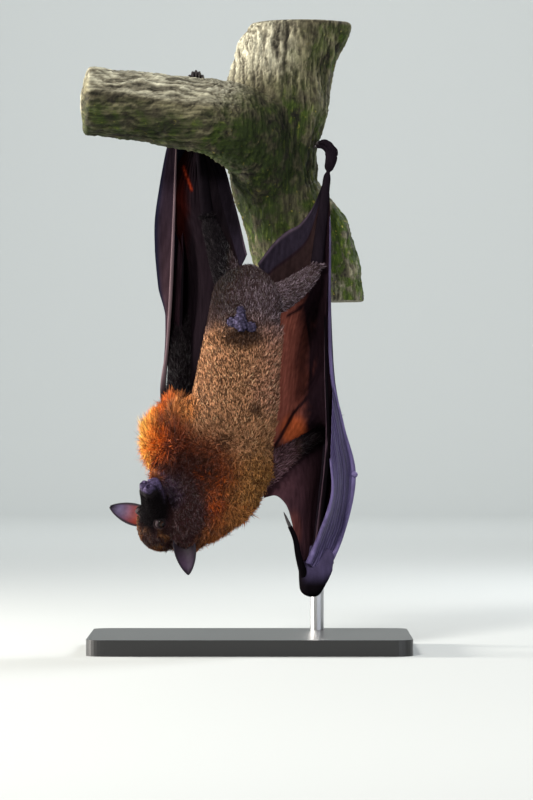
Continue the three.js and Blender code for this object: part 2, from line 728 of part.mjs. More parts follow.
function buildMembranes(side) {
  const wing = WINGS[side];
  const outerFold = side === 'left'
    ? [outerFoldRibs(wing), { across: 4, along: 7 }]
    : [fingerMembraneRibs(wing.fourth, wing.third), { across: 1, along: 7 }];
  const skins = {
    [`arm_membrane_${side}`]: [armMembraneRibs(side), { across: 4, along: 12, fullest: 0.68 }],
    [`fore_membrane_${side}`]: [foreMembraneRibs(side), { across: 3, along: 6 }],
    [`tail_membrane_${side}`]: [tailMembraneRibs(side), { across: 3, along: 6 }],
    [`finger_membrane_2_3_${side}`]: [
      fingerMembraneRibs(wing.index, wing.third.slice(0, JOINTS_BEFORE_INDEX[side])),
      { across: 1, along: 5 }],
    [`finger_membrane_3_4_${side}`]: outerFold,
    [`finger_membrane_4_5_${side}`]: [
      fingerMembraneRibs(wing.fifth, wing.fourth), { across: 1, along: 6 }],
  };
  for (const [name, [ribs, options]] of Object.entries(skins)) {
    place(name, 'membrane', (grow) => skinOver(ribs, { ...options, grow }));
  }
}

// ---------------------------------------------------------------- the whole animal

buildPerchAndStand();
buildHead();
buildTrunkOfBody();
place('groin', 'bareSkin', groin);
place('ear_right', 'ear', (grow) => ear(EARS.right, grow));
place('ear_left', 'ear', (grow) => ear(EARS.left, grow));
for (const side of ['right', 'left']) {
  buildLeg(side);
  buildArm(side);
  buildFingers(side);
  buildMembranes(side);
}

export default model;
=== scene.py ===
"""The looks of a large flying fox that hangs head down from a forked branch on a display stand.

One skin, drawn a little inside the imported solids, carries the head, trunk, limbs, wings and tail
skins. Over it lie the coat, in many thin closed tufts, the eyes and the claws. The perch is one
piece of bark. Points and sizes are in millimetres in the row's frame: +X is the animal's right,
+Y is behind its back and +Z is up. They turn into metres only where a mesh is made.
"""

import math

import bmesh
import bpy
import numpy as np
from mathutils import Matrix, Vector, noise


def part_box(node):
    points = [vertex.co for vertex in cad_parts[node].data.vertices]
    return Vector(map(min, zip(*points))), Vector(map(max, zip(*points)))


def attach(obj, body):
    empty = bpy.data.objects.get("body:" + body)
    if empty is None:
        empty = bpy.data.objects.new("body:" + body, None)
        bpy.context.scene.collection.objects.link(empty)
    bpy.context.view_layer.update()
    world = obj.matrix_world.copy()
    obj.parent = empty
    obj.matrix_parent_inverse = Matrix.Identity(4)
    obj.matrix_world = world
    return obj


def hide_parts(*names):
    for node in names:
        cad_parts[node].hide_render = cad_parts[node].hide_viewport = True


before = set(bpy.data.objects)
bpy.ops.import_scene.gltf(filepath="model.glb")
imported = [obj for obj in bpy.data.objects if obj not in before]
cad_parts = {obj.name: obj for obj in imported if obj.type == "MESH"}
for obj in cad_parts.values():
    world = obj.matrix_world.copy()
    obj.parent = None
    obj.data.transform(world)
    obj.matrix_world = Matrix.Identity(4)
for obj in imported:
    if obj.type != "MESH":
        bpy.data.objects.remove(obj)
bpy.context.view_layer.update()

METRES = 0.001

# ------------------------------------------------------------------ driving dimensions

CAMERA_PLACE = (16.5, -4500, 250)
CAMERA_LENS = 202.5               # with 36 mm on the long side: a millimetre at y = 0 is a pixel
SENSOR = 36

MEMBRANE = 0.7                    # thickness of the wing and tail skin
EYE_RADIUS = 5.6
TOES = 5
SIDES = ("right", "left")
VOXEL = 1.55    # grain of the body's skin
WOOD_VOXEL = 1.85

# Trunk of the animal from the rump to the back of the neck: centre, half-width and half-depth
# out to the tips of the coat, and the coat's depth.
TRUNK = np.array([
    [0, -20, 382, 13, 12, 3],
    [-3, -24, 358, 33, 24, 3.5],
    [-6, -28, 325, 37, 32, 4],
    [-12, -30, 280, 40, 38, 4],
    [-18, -30, 240, 45, 42, 4.5],
    [-34, -28, 205, 61, 44, 6],
    [-42, -27, 172, 60, 43, 7],
    [-56, -29, 142, 45, 38, 7],
    [-66, -31, 120, 29, 30, 6],
    [-70, -32, 102, 14, 18, 4],
])
SHOULDER_MASSES = [
    ((-75, -20, 210), (33, 38, 38), 8),
    ((2, -22, 184), (20, 26, 26), 5),
]

HEAD_CENTRE = np.array([-93.0, -45.0, 130.0])
HEAD_AXES = np.array([
    [-0.18, -0.76, 0.62],         # forward, along the muzzle
    [0.70, -0.55, -0.45],         # to the animal's own right
    [-0.683, -0.353, -0.631],     # up, toward the crown
])
HEAD_AXES /= np.linalg.norm(HEAD_AXES, axis=1, keepdims=True)
# Distance forward, height above, depth below, half-width, and the coat's depth there.
HEAD = np.array([
    [-38, 3, 3, 3, 3],
    [-34, 10, 10, 12, 3.5],
    [-26, 18, 17, 19, 3.5],
    [-12, 21, 21, 22.5, 3.2],
    [0, 18, 22, 22, 2.6],
    [11, 13, 21, 18, 1.8],
    [20, 9, 20.5, 14.5, 1.2],
    [30, 7, 20, 12, 0.9],
    [40, 5.5, 21.5, 10.6, 0.6],
    [49, 5, 20, 9.2, 0.5],
    [55, 4, 15, 7, 0.5],
    [57.2, 1, 5, 3, 0.5],
])
EYE = {"forward": 11, "apart": 13.2, "above": 4}
EARS = {
    "right": {"root": (-65.5, -50, 112), "tip": (-60.5, -61, 78), "across": (1, 0.2, 0.1)},
    "left": {"root": (-107, -34, 134), "tip": (-139.7, -16, 143.7), "across": (0.25, 0.25, 0.95)},
}
EAR_COLOURS = {                   # inside an ear near its root, and at its tip
    "right": ((0.014, 0.008, 0.012), (0.042, 0.024, 0.045)),
    "left": ((0.17, 0.024, 0.013), (0.075, 0.055, 0.11)),
}
EAR_WIDTH = 22
EAR_CUP = 7
EAR_THICKNESS = 0.9
GROIN = [
    ([(-9, -50, 338), (-9, -58, 333), (-9, -62, 326), (-8, -65, 317)], [3.5, 4.8, 6.4, 4.4]),
    ([(-15, -52, 327), (-20, -61, 326)], [5.2, 4.8]),
    ([(-2, -52, 323), (3.5, -62, 321)], [5.4, 5.2]),
]

WINGS = {
    "right": {
        "shoulder": (2, -22, 168),
        "elbow": (82, 56, 234),
        "wrist": (62, -11, 68),
        "thumb": [(54, -12, 74), (48.5, -20, 94), (45, -25, 112), (39.5, -29, 125),
                  (33.5, -31, 139)],
        "index": [(58, -14, 86), (69, -17, 114), (82, -20, 156), (80, -12, 192)],
        "third": [(72, -9, 74), (91, 11, 112), (103.5, 32, 174), (93, 20, 225), (82, 5, 275),
                  (80, 0, 435)],
        "fourth": [(67, -6, 82), (88, 16, 200), (82, 9, 288), (79, 5, 383)],
        "fifth": [(65, -5, 84), (78, 5, 205), (76, 0, 270), (75, -2, 335)],
    },
    "left": {
        "shoulder": (-70, -10, 222),
        "elbow": (-67, 42, 333),
        "wrist": (-52, 62, 139),
        "thumb": [(-56, 58, 150), (-60, 52, 168), (-63, 48, 184), (-64, 46, 194), (-64, 44, 204)],
        "index": [(-55, 57, 152), (-76, 36, 225), (-83, 25, 252), (-84, 22, 262)],
        "third": [(-58, 57, 155), (-72, 40, 202), (-87, 22, 252), (-83, 23, 305),
                  (-79.5, 24, 360), (-74, 30, 512)],
        "fourth": [(-56, 58, 155), (-80, 36, 270), (-77, 35, 358), (-67, 37, 470)],
        "fifth": [(-54, 59, 156), (-71, 31, 270), (-69, 27, 335), (-67, 27, 400)],
    },
}
LEGS = {
    "right": {
        "thigh": [(4, -16, 346), (28, -12, 352), (50, -6, 366), (66, 0, 381)],
        "ankle": (78, 18, 480),
        "instep": (81, 23, 490),
        "knuckles": (82.5, 28, 499),
        "arch": [(81.5, 31, 503), (77, 34, 510), (70.5, 36, 510.5), (67.5, 37, 504)],
        "spread": (0.6, 0.8, 0.05),
        "spacing": 3.6,
    },
    "left": {
        "thigh": [(-12, -14, 350), (-22, -10, 374), (-32, -4, 402), (-42, 2, 430)],
        "ankle": (-53, 29, 519),
        "instep": (-53, 28, 535),
        "knuckles": (-53.5, 26, 550),
        "arch": [(-53.5, 23, 558), (-54, 15, 573), (-54, 3, 579), (-54, -7, 570.5)],
        "spread": (1, 0.05, 0),
        "spacing": 3.2,
    },
}
TOE_DROP = 1.2                    # how much lower a toe arches for each step from the middle one
# Half-thicknesses of the limbs, first to last joint, and the depth of their coat.
THICKNESS = {
    "upper_arm": [15, 13, 11, 9],
    "forearm": [8.5, 9, 6.5, 5.5],
    "thigh": [17, 16, 12.5, 8.5],
    "shank": [7.5, 6.2, 4.6],
    "thumb": [4.2, 3.2, 2.6, 2.2, 1.2],
    "index": [3.4, 2.1, 1.6, 0.7],
    "third": [3.8, 2.3, 3.1, 1.6, 1.9, 0.8],
    "fourth": [3.4, 2.6, 1.7, 0.8],
    "fifth": [3.4, 2.6, 1.7, 0.8],
    "toe": [2.3, 2.4, 2.3, 1.8, 1.1],
}
ARM_COAT = 3.0
FOREARM_COAT = 0.6
WRIST_COAT = 0.4
THIGH_COAT = 3.5
SHANK_COAT = 0.8
WRIST_SECTIONS = [(-15, 9, 6.5), (-7, 12, 8), (3, 15, 8), (13, 17.5, 6), (18, 18, 4)]
PALM_WEB = [(28, 17, 3.0), (40, 14, 1.9)]   # the wrist thins out over the roots of the fingers

TRAILING_EDGE_BOW = {"right": (4, 0, 0), "left": (-22, 6, 0)}
FLANK = {
    "right": ([(20, -14, 225), (24, -16, 270), (27, -16, 315)], [30, 38, 28, 6]),
    "left": ([(-54, -14, 250), (-44, -16, 290), (-36, -14, 335)], [22, 26, 20, 6]),
}
FORE_EDGE = {
    "right": [(14, -27, 153), (26, -27, 155), (36, -26, 146), (42, -24, 128), (45, -20, 108),
              (50, -15, 88)],
    "left": [(-80, 0, 205), (-78, 14, 196), (-74, 28, 186), (-70, 40, 176), (-66, 48, 166),
             (-60, 56, 154)],
}
TAIL_EDGE = {
    "right": [(8, -21, 386), (25, -12, 408), (39, -4, 420), (49, 2, 425.5), (62, 9, 442),
              (74.5, 16, 471)],
    "left": [(-3, -16, 395), (-7, -9, 412), (-11, -2, 430), (-18, 8, 457), (-27, 18, 487),
             (-44, 26, 512)],
}
JOINTS_BEFORE_INDEX = {"right": 5, "left": 3}   # of the third finger, spanned to the index
ARM_CREASES = [                   # painted dark cords and creases over the right arm's skin, as (x, z)
    [(64, 259), (44, 238), (26, 205), (19, 195)],
    [(64, 353), (50, 342), (38, 334)],
    [(60, 250), (62, 300), (56, 345)],
]
# pale lines along two wrinkles of the right arm's skin, painted as highlights
POCKET_LINES = [[(63, 116), (67.5, 179)], [(69, 123), (75.5, 170)]]
LEFT_STREAK = [(-67.2, 484.5), (-58.6, 461)]
KNOB = ((105, 30, 175), 3.4)      # the knuckle of the right third finger
# How far the left wing's outer fold bulges at each height, the last of them behind the branch.
OUTER_FOLD = [(270, 3), (300, 3), (335, 5), (362, 14), (400, 20), (430, 22), (470, 19), (506, 14),
              (518, 9)]

# Colours as they reflect, in linear light.
DARK_ROOT = (0.022, 0.010, 0.006)
TAN = (0.64, 0.32, 0.16)
PINK_TAN = (0.74, 0.36, 0.24)
GREY = (0.23, 0.17, 0.205)
ORANGE = (0.86, 0.15, 0.012)
ORANGE_TAN = (0.66, 0.24, 0.07)
RIM_LIGHT_ORANGE = (1.0, 0.46, 0.10)
RED_BROWN = (0.22, 0.034, 0.009)
THROAT = (0.035, 0.010, 0.007)
OLIVE_GOLD = (0.54, 0.245, 0.075)
BACK_BROWN = (0.06, 0.035, 0.025)
CROWN = (0.30, 0.115, 0.035)
CHEEK = (0.042, 0.017, 0.020)
LIT_JAW = (0.060, 0.038, 0.070)
FACE = (0.006, 0.004, 0.005)
MUZZLE_LIT = (0.085, 0.064, 0.135)
LIMB = (0.010, 0.007, 0.010)
ARM_FUR = (0.30, 0.16, 0.19)
GROIN_SKIN = (0.026, 0.022, 0.040)
SLATE_SHEEN = (0.068, 0.050, 0.135)
SHADED_SLATE_SHEEN = (0.027, 0.019, 0.056)
RUMP_DARK = (0.016, 0.011, 0.014)
WING_DARK = (0.010, 0.005, 0.007)
BLACK = (0.004, 0.003, 0.004)
WING_RED = (0.21, 0.060, 0.042)
WING_PLUM = (0.050, 0.022, 0.028)
WING_MAUVE = (0.034, 0.019, 0.024)
STREAK = (0.13, 0.016, 0.006)
RIDGE_HIGHLIGHT = (0.17, 0.135, 0.29)
TAIL_BROWN = (0.020, 0.011, 0.011)
TAIL_BAND = (0.016, 0.012, 0.019)
TAIL_RIM = (0.10, 0.070, 0.095)
WING_GLOW = (0.42, 0.085, 0.025)
BACKLIT_RED = (0.007, 0.0008, 0.0004)
STREAK_EDGE = (0.025, 0.0025, 0.001)
BLUE_BLACK = (0.005, 0.006, 0.014)
WRIST_SLATE_SHEEN = (0.060, 0.048, 0.100)
GROIN_HIGHLIGHT = (0.10, 0.085, 0.15)
LID_HIGHLIGHT = (0.06, 0.04, 0.045)
FINGER_EDGE = (0.12, 0.075, 0.10)
FINGER_LIT = (0.105, 0.072, 0.080)
EAR_RIM = (0.012, 0.008, 0.014)
EAR_OUTSIDE = (0.035, 0.022, 0.030)
EAR_OUTSIDE_RIM = (0.012, 0.008, 0.012)
IRIS = (0.022, 0.008, 0.004)
EYE_WHITE = (0.006, 0.003, 0.002)   # the white of the eye is nearly black too
PUPIL = (0.004, 0.003, 0.003)


# ------------------------------------------------------------------ small tools

def vec(*values):
    return np.array(values, float)


def unit(vectors):
    lengths = np.linalg.norm(vectors, axis=-1, keepdims=True)
    return vectors / np.maximum(lengths, 1e-9)


def step(low, high, values):
    """0 below low, 1 above high, and a smooth rise between them."""
    share = np.clip((values - low) / (high - low), 0, 1)
    return share * share * (3 - 2 * share)


def mix(first, second, share):
    return first + (second - first) * share


def bell(offset, width):
    """1 at no offset, falling off on both sides over about that width."""
    return np.exp(-(offset / width) ** 2)


def between(a, b, share):
    return mix(np.asarray(a, float), np.asarray(b, float), share)


def split(a, b, *shares):
    """Points at those shares of the way from a to b."""
    return [between(a, b, share) for share in shares]


def spline(knots, shares):
    """Points at shares 0 to 1 of a centripetal Catmull-Rom curve, the one the solids follow."""
    knots = np.asarray(knots, float)
    last = len(knots) - 1
    place = np.clip(np.asarray(shares, float), 0, 1) * last
    cell = np.minimum(place.astype(int), last - 1)
    within = (place - cell)[:, None]
    padded = np.vstack([2 * knots[0] - knots[1], knots, 2 * knots[-1] - knots[-2]])
    p0, p1, p2, p3 = (padded[cell + offset] for offset in range(4))

    def reach(a, b):
        return np.maximum(np.linalg.norm(b - a, axis=1, keepdims=True) ** 0.5, 1e-4)

    t0, t1, t2 = reach(p0, p1), reach(p1, p2), reach(p2, p3)
    leave = ((p1 - p0) / t0 - (p2 - p0) / (t0 + t1) + (p2 - p1) / t1) * t1
    arrive = ((p2 - p1) / t1 - (p3 - p1) / (t1 + t2) + (p3 - p2) / t2) * t1
    square = within ** 2
    cube = within ** 3
    return ((2 * cube - 3 * square + 1) * p1 + (cube - 2 * square + within) * leave
            + (3 * square - 2 * cube) * p2 + (cube - square) * arrive)


def waves(points, size, seed, octaves=3):
    """Smooth noise from about -1 to 1 with bumps of that size, made of turned sine waves."""
    random = np.random.default_rng(seed)
    total = np.zeros(len(points))
    weight = 1.0
    for _ in range(octaves):
        for _ in range(4):
            way = unit(random.normal(size=3)) * (2 * math.pi / size) * random.uniform(0.7, 1.4)
            total += weight * np.sin(points @ way + random.uniform(0, 2 * math.pi))
        size /= 2.1
        weight *= 0.6
    return total / 4


def mesh_from(name, points, face_sets):
    """A mesh from points in millimetres and arrays of faces, one array for each corner count."""
    face_sets = [faces for faces in face_sets if len(faces)]
    corners = np.concatenate([faces.ravel() for faces in face_sets])
    sizes = np.concatenate([np.full(len(faces), faces.shape[1]) for faces in face_sets])
    mesh = bpy.data.meshes.new(name)
    mesh.vertices.add(len(points))
    move_points(mesh, points)
    mesh.loops.add(len(corners))
    mesh.loops.foreach_set("vertex_index", corners.astype(np.int32))
    mesh.polygons.add(len(sizes))
    starts = np.concatenate([[0], np.cumsum(sizes)[:-1]])
    mesh.polygons.foreach_set("loop_start", starts.astype(np.int32))
    mesh.update(calc_edges=True)
    return mesh


def add_object(name, mesh, materials=(), smooth=True):
    piece = bpy.data.objects.new(name, mesh)
    bpy.context.scene.collection.objects.link(piece)
    for one in materials:
        mesh.materials.append(one)
    mesh.polygons.foreach_set("use_smooth", np.full(len(mesh.polygons), smooth))
    return piece


def paint(mesh, name, values):
    """Stores one colour (n, 3) or one number (n,) for each vertex of the mesh."""
    if values.ndim == 1:
        layer = mesh.attributes.new(name, "FLOAT", "POINT")
        layer.data.foreach_set("value", values.astype(np.float32))
        return
    layer = mesh.attributes.new(name, "FLOAT_COLOR", "POINT")
    colours = np.ones((len(values), 4), np.float32)
    colours[:, :3] = values
    layer.data.foreach_set("color", colours.ravel())


def rows_of(data, key):
    """Three numbers for each vertex or normal of a mesh."""
    flat = np.empty(len(data) * 3, np.float32)
    data.foreach_get(key, flat)
    return flat.reshape(-1, 3).astype(float)


def points_of(mesh):
    return rows_of(mesh.vertices, "co") / METRES


def normals_of(mesh):
    return rows_of(mesh.vertex_normals, "vector")


def move_points(mesh, points):
    mesh.vertices.foreach_set("co", (points * METRES).astype(np.float32).ravel())


def applied(piece, *modifiers):
    """The mesh of a piece after modifiers given as (type, settings); the piece is removed."""
    for kind, settings in modifiers:
        modifier = piece.modifiers.new(kind, kind)
        for key, value in settings.items():
            setattr(modifier, key, value)
    graph = bpy.context.evaluated_depsgraph_get()
    mesh = bpy.data.meshes.new_from_object(piece.evaluated_get(graph))
    bpy.data.objects.remove(piece)
    return mesh


# ------------------------------------------------------------------ shapes

def ring_faces(rings, sides):
    """Quads over a stack of rings, and one face to close each end."""
    ring, side = np.meshgrid(np.arange(rings - 1), np.arange(sides), indexing="ij")
    corner = ring * sides + side
    beside = ring * sides + (side + 1) % sides
    quads = np.stack([corner, beside, beside + sides, corner + sides], -1).reshape(-1, 4)
    first = np.arange(sides)[::-1][None]
    last = ((rings - 1) * sides + np.arange(sides))[None]
    return [quads, first, last]


def tube(sections, across=(1, 0, 0), sides=24, rings=40, cap=0.08):
    """A closed body along sections [x, y, z, half-width, half-depth], with rounded ends."""
    sections = np.asarray(sections, float)
    shares = np.linspace(0, 1, rings)
    shares = 0.6 * shares + 0.2 * (1 - np.cos(np.pi * shares))
    centre = spline(sections[:, :3], shares)
    half = spline(np.column_stack([sections[:, 3:5], np.zeros(len(sections))]), shares)
    ahead = spline(sections[:, :3], np.minimum(shares + 1e-3, 1))
    behind = spline(sections[:, :3], np.maximum(shares - 1e-3, 0))
    tangent = unit(ahead - behind)
    across = np.asarray(across, float)
    wide_way = unit(across - tangent * (tangent @ across)[:, None])
    deep_way = np.cross(tangent, wide_way)
    to_end = np.minimum(shares, 1 - shares)
    closing = np.sqrt(np.clip(1 - (1 - np.minimum(to_end / cap, 1)) ** 2, 4e-4, 1))
    angles = 2 * np.pi * np.arange(sides) / sides
    wide = (half[:, :1] * closing[:, None] * np.cos(angles))[..., None]
    deep = (half[:, 1:2] * closing[:, None] * np.sin(angles))[..., None]
    points = centre[:, None] + wide * wide_way[:, None] + deep * deep_way[:, None]
    return points.reshape(-1, 3), ring_faces(rings, sides)


def jointed(joints, thicknesses, less=0.0, **options):
    """A limb through joints, thinner by `less` than its half-thicknesses."""
    sections = [(*joint, thick - less, thick - less) for joint, thick in zip(joints, thicknesses)]
    return tube(sections, **options)


def ball(centre, radii, sides=32, rings=20):
    polar = np.linspace(0.02, np.pi - 0.02, rings)[:, None]
    angles = 2 * np.pi * np.arange(sides)[None] / sides
    shape = np.stack([
        np.sin(polar) * np.cos(angles), np.sin(polar) * np.sin(angles),
        np.cos(polar) * np.ones_like(angles),
    ], -1)
    points = np.asarray(centre) + shape.reshape(-1, 3) * np.asarray(radii)
    return points, [faces[:, ::-1] for faces in ring_faces(rings, sides)]


def shell(point_at, across, along, thickness=MEMBRANE):
    """A thin closed sheet over point_at(u, v), and the u and v of its points."""
    u, v = np.meshgrid(np.linspace(0, 1, across + 1), np.linspace(0, 1, along + 1), indexing="ij")
    middle = point_at(u.ravel(), v.ravel()).reshape(across + 1, along + 1, 3)
    normal = unit(np.cross(np.gradient(middle, axis=0), np.gradient(middle, axis=1)))
    front = (middle + normal * thickness / 2).reshape(-1, 3)
    back = (middle - normal * thickness / 2).reshape(-1, 3)
    columns = along + 1
    count = (across + 1) * columns
    i, j = np.meshgrid(np.arange(across), np.arange(along), indexing="ij")
    corner = (i * columns + j).ravel()
    top = np.stack([corner, corner + columns, corner + columns + 1, corner + 1], -1)
    bottom = top[:, ::-1] + count
    rim = np.concatenate([
        np.arange(across) * columns, across * columns + np.arange(along),
        (across - np.arange(across)) * columns + along, along - np.arange(along),
    ])
    after = np.roll(rim, -1)
    side = np.stack([rim, rim + count, after + count, after], -1)
    uv = np.column_stack([np.tile(u.ravel(), 2), np.tile(v.ravel(), 2)])
    return np.vstack([front, back]), [top, bottom, side], uv


def join_parts(parts):
    """Points and faces of several parts as one."""
    points = np.vstack([part_points for part_points, _ in parts])
    face_sets = []
    start = 0
    for part_points, part_faces in parts:
        face_sets += [faces + start for faces in part_faces]
        start += len(part_points)
    return points, face_sets


# ------------------------------------------------------------------ body under the coat

def head_points(local):
    """Points from head coordinates (forward, side, up) to the row's frame."""
    return HEAD_CENTRE + local @ HEAD_AXES


def head_local(points):
    return (points - HEAD_CENTRE) @ HEAD_AXES.T


def head_shape():
    sides, rings = 64, 90
    shares = np.linspace(0, 1, rings)
    stops = spline(HEAD[:, :3], shares)
    widths = spline(HEAD[:, [0, 3, 4]], shares)
    angles = 2 * np.pi * np.arange(sides) / sides
    rise = np.sin(angles)
    coat = widths[:, 2:3]
    tall = np.where(rise > 0, stops[:, 1:2] - coat, stops[:, 2:3] - coat)
    local = np.stack([
        np.repeat(stops[:, :1], sides, axis=1),
        np.maximum(widths[:, 1:2] - coat, 0.4) * np.cos(angles),
        np.maximum(tall, 0.4) * rise,
    ], -1)
    return head_points(local.reshape(-1, 3)), ring_faces(rings, sides)


def trunk_shape():
    sections = TRUNK[:, :5].copy()
    sections[:, 3:5] -= TRUNK[:, 5:6]
    return tube(sections, sides=72, rings=90, cap=0.05)


def arm_joints(side):
    """Joints of the upper arm and of the forearm."""
    wing = WINGS[side]
    return (split(wing["shoulder"], wing["elbow"], 0, 0.35, 0.7, 1),
            split(wing["elbow"], wing["wrist"], 0, 0.2, 0.6, 1))


def palm_way(side):
    """The way from the wrist along the palm."""
    wing = WINGS[side]
    return unit(between(wing["third"][2], wing["fifth"][1], 0.5) - wing["wrist"])


def wrist_shape(side):
    wrist, way = WINGS[side]["wrist"], palm_way(side)
    sections = [(*(wrist + way * reach), wide - WRIST_COAT, deep - WRIST_COAT)
                for reach, wide, deep in WRIST_SECTIONS + PALM_WEB]
    return tube(sections, sides=32, rings=30, cap=0.12)


def body_parts():
    """Everything that the body's skin is drawn round, less the coat's depth."""
    parts = [trunk_shape(), head_shape()]
    parts += [ball(centre, np.array(radii) - coat) for centre, radii, coat in SHOULDER_MASSES]
    parts += [jointed(path, radii, sides=24, rings=24, cap=0.2) for path, radii in GROIN]
    for side in SIDES:
        thigh, ankle = LEGS[side]["thigh"], LEGS[side]["ankle"]
        arm, forearm = arm_joints(side)
        parts += [
            jointed(thigh, THICKNESS["thigh"], THIGH_COAT, across=(0, 0, 1)),
            jointed(split(thigh[3], ankle, 0, 0.5, 1), THICKNESS["shank"], SHANK_COAT),
            jointed(arm, THICKNESS["upper_arm"], ARM_COAT, across=(0, 0, 1)),
            jointed(forearm, THICKNESS["forearm"], FOREARM_COAT, cap=0.04),
            wrist_shape(side),
            sole_shape(side),
        ]
    return parts


def sole_shape(side):
    leg = LEGS[side]
    web = leg["spacing"] * (TOES - 1) / 2
    return tube([(*leg["ankle"], 4.7, 4.3), (*leg["instep"], web, 4.6),
                 (*leg["knuckles"], web + 2, 4)],
                across=leg["spread"], sides=24, rings=20, cap=0.15)


def toe_paths(side):
    """The arch of each toe: its joints from the sole to the claw's tip."""
    leg = LEGS[side]
    spread = unit(vec(*leg["spread"]))
    drops = np.array([0, 0.4, 1, 1, 0])
    root = between(leg["instep"], leg["knuckles"], 0.6)
    for toe in range(TOES):
        from_middle = toe - (TOES - 1) / 2
        joints = np.array([root, *leg["arch"]]) + spread * from_middle * leg["spacing"]
        joints[:, 2] -= TOE_DROP * drops * from_middle ** 2
        yield joints


def remeshed(parts, voxel, smoothing):
    """One closed mesh round all the parts."""
    points, face_sets = join_parts(parts)
    raw = add_object("raw", mesh_from("raw", points, face_sets))
    return applied(
        raw,
        ("REMESH", {"mode": "VOXEL", "voxel_size": voxel * METRES, "adaptivity": 0.0}),
        ("SMOOTH", {"factor": 0.5, "iterations": smoothing}),
    )


def refine(mesh, fine):
    """Splits the faces among the chosen vertices, for folds and lids."""
    work = bmesh.new()
    work.from_mesh(mesh)
    edges = [edge for edge in work.edges if all(fine[vertex.index] for vertex in edge.verts)]
    bmesh.ops.subdivide_edges(work, edges=edges, cuts=1, use_grid_fill=True, smooth=0.6)
    bmesh.ops.triangulate(work, faces=[face for face in work.faces if len(face.verts) > 4])
    work.to_mesh(mesh)
    work.free()


def gaze(sign):
    """The way an eye looks, in head coordinates: out, forward and a little up."""
    return unit(vec(0.62, 0.74 * sign, 0.26))


def sculpt_lids(local):
    """Wraps lids round each eyeball, with an almond opening between them and folds about them."""
    for sign in (1, -1):
        centre = vec(EYE["forward"], sign * EYE["apart"], EYE["above"])
        offset = local - centre
        distance = np.linalg.norm(offset, axis=1)
        way = unit(offset)
        look = gaze(sign)
        corner_way = unit(np.cross(look, np.cross(vec(1, 0, -0.25), look)))
        along = way @ corner_way
        facing = way @ look
        angle = np.degrees(np.arccos(np.clip(facing, -1, 1)))
        corners = np.abs(along) / np.maximum(np.sin(np.radians(angle)), 1e-3)
        opening = 25 + 15 * corners ** 2
        rim = EYE_RADIUS + 0.75 + 0.5 * bell(angle - opening - 5, 4.5)
        fold = 0.55 * bell(angle - opening - 17, 3.5)
        target = np.where(angle < opening, EYE_RADIUS - 2.4, rim - fold)
        blend = (1 - step(58, 84, angle)) * (1 - step(11, 15, distance))
        reach = mix(distance, target, blend)
        local = np.where((blend > 0)[:, None], centre + way * reach[:, None], local)
    return local


def sculpt_muzzle(local):
    """Nostrils in raised rolls, a groove between them, the mouth line and the lips."""
    ahead, side, up = local.T.copy()
    width = np.abs(side)
    nostril = np.hypot(width - 3.6, (up + 1.6) * 0.9)
    front = step(47, 52.5, ahead)
    local[:, 0] += front * (2.0 * bell(nostril - 2.6, 1.2)
                            - 3.2 * bell(nostril, 1.45)
                            - 1.5 * bell(width, 0.9) * (up > -8))
    local[:, 1] += np.sign(side) * 0.8 * front * bell(nostril - 2.6, 1.2)
    mouth_height = np.interp(ahead, [20, 28, 36, 47, 54.5], [-12.8, -11.8, -11, -10, -7.4])
    along_mouth = step(17, 25, ahead) * (1 - step(56, 58, ahead))
    groove = bell(up - mouth_height, 0.8) * along_mouth
    upper_lip = bell(up - mouth_height - 2.3, 1.4) * along_mouth
    lower_lip = bell(up - mouth_height + 2.0, 1.2) * along_mouth
    outward = unit(np.stack([0.25 * front, side, up + 6], -1))
    local += outward * (0.8 * upper_lip + 0.45 * lower_lip - 1.7 * groove)[:, None]
    bridge = step(20, 30, ahead) * (1 - front) * bell(width - 4.2, 1.6) * (up > 0)
    wrinkles = np.sin(ahead * 1.9 + 0.8 * np.sin(up * 0.6 + width)) * step(16, 28, ahead)
    local += outward * (0.16 * wrinkles * (1 - front) + 0.5 * bridge)[:, None]
    return local


def wrinkle_groin(points, normals):
    """Shifts the bare lobes of the groin in and out by fine wrinkles across them."""
    index, _ = nearest_axis(points)
    bare = belongs(index, "groin")
    lobes = points[bare]
    folds = np.sin(lobes[:, 2] * 1.9 + 1.6 * np.sin(lobes[:, 0] * 0.9)) * 0.55
    points[bare] += normals[bare] * (folds + 0.45 * waves(lobes, 5, 91))[:, None]


def sculpt(mesh):
    """Shapes the face and wrinkles the groin."""
    points = points_of(mesh)
    local = head_local(points)
    face = (local[:, 0] > -2) & (np.abs(local[:, 1]) < 26) & (np.abs(local[:, 2]) < 26)
    shaped = sculpt_muzzle(sculpt_lids(local[face].copy()))
    wrinkle_groin(points, normals_of(mesh))
    points[face] = head_points(shaped)
    move_points(mesh, points)
    mesh.update()


# ------------------------------------------------------------------ markings and lie of the coat

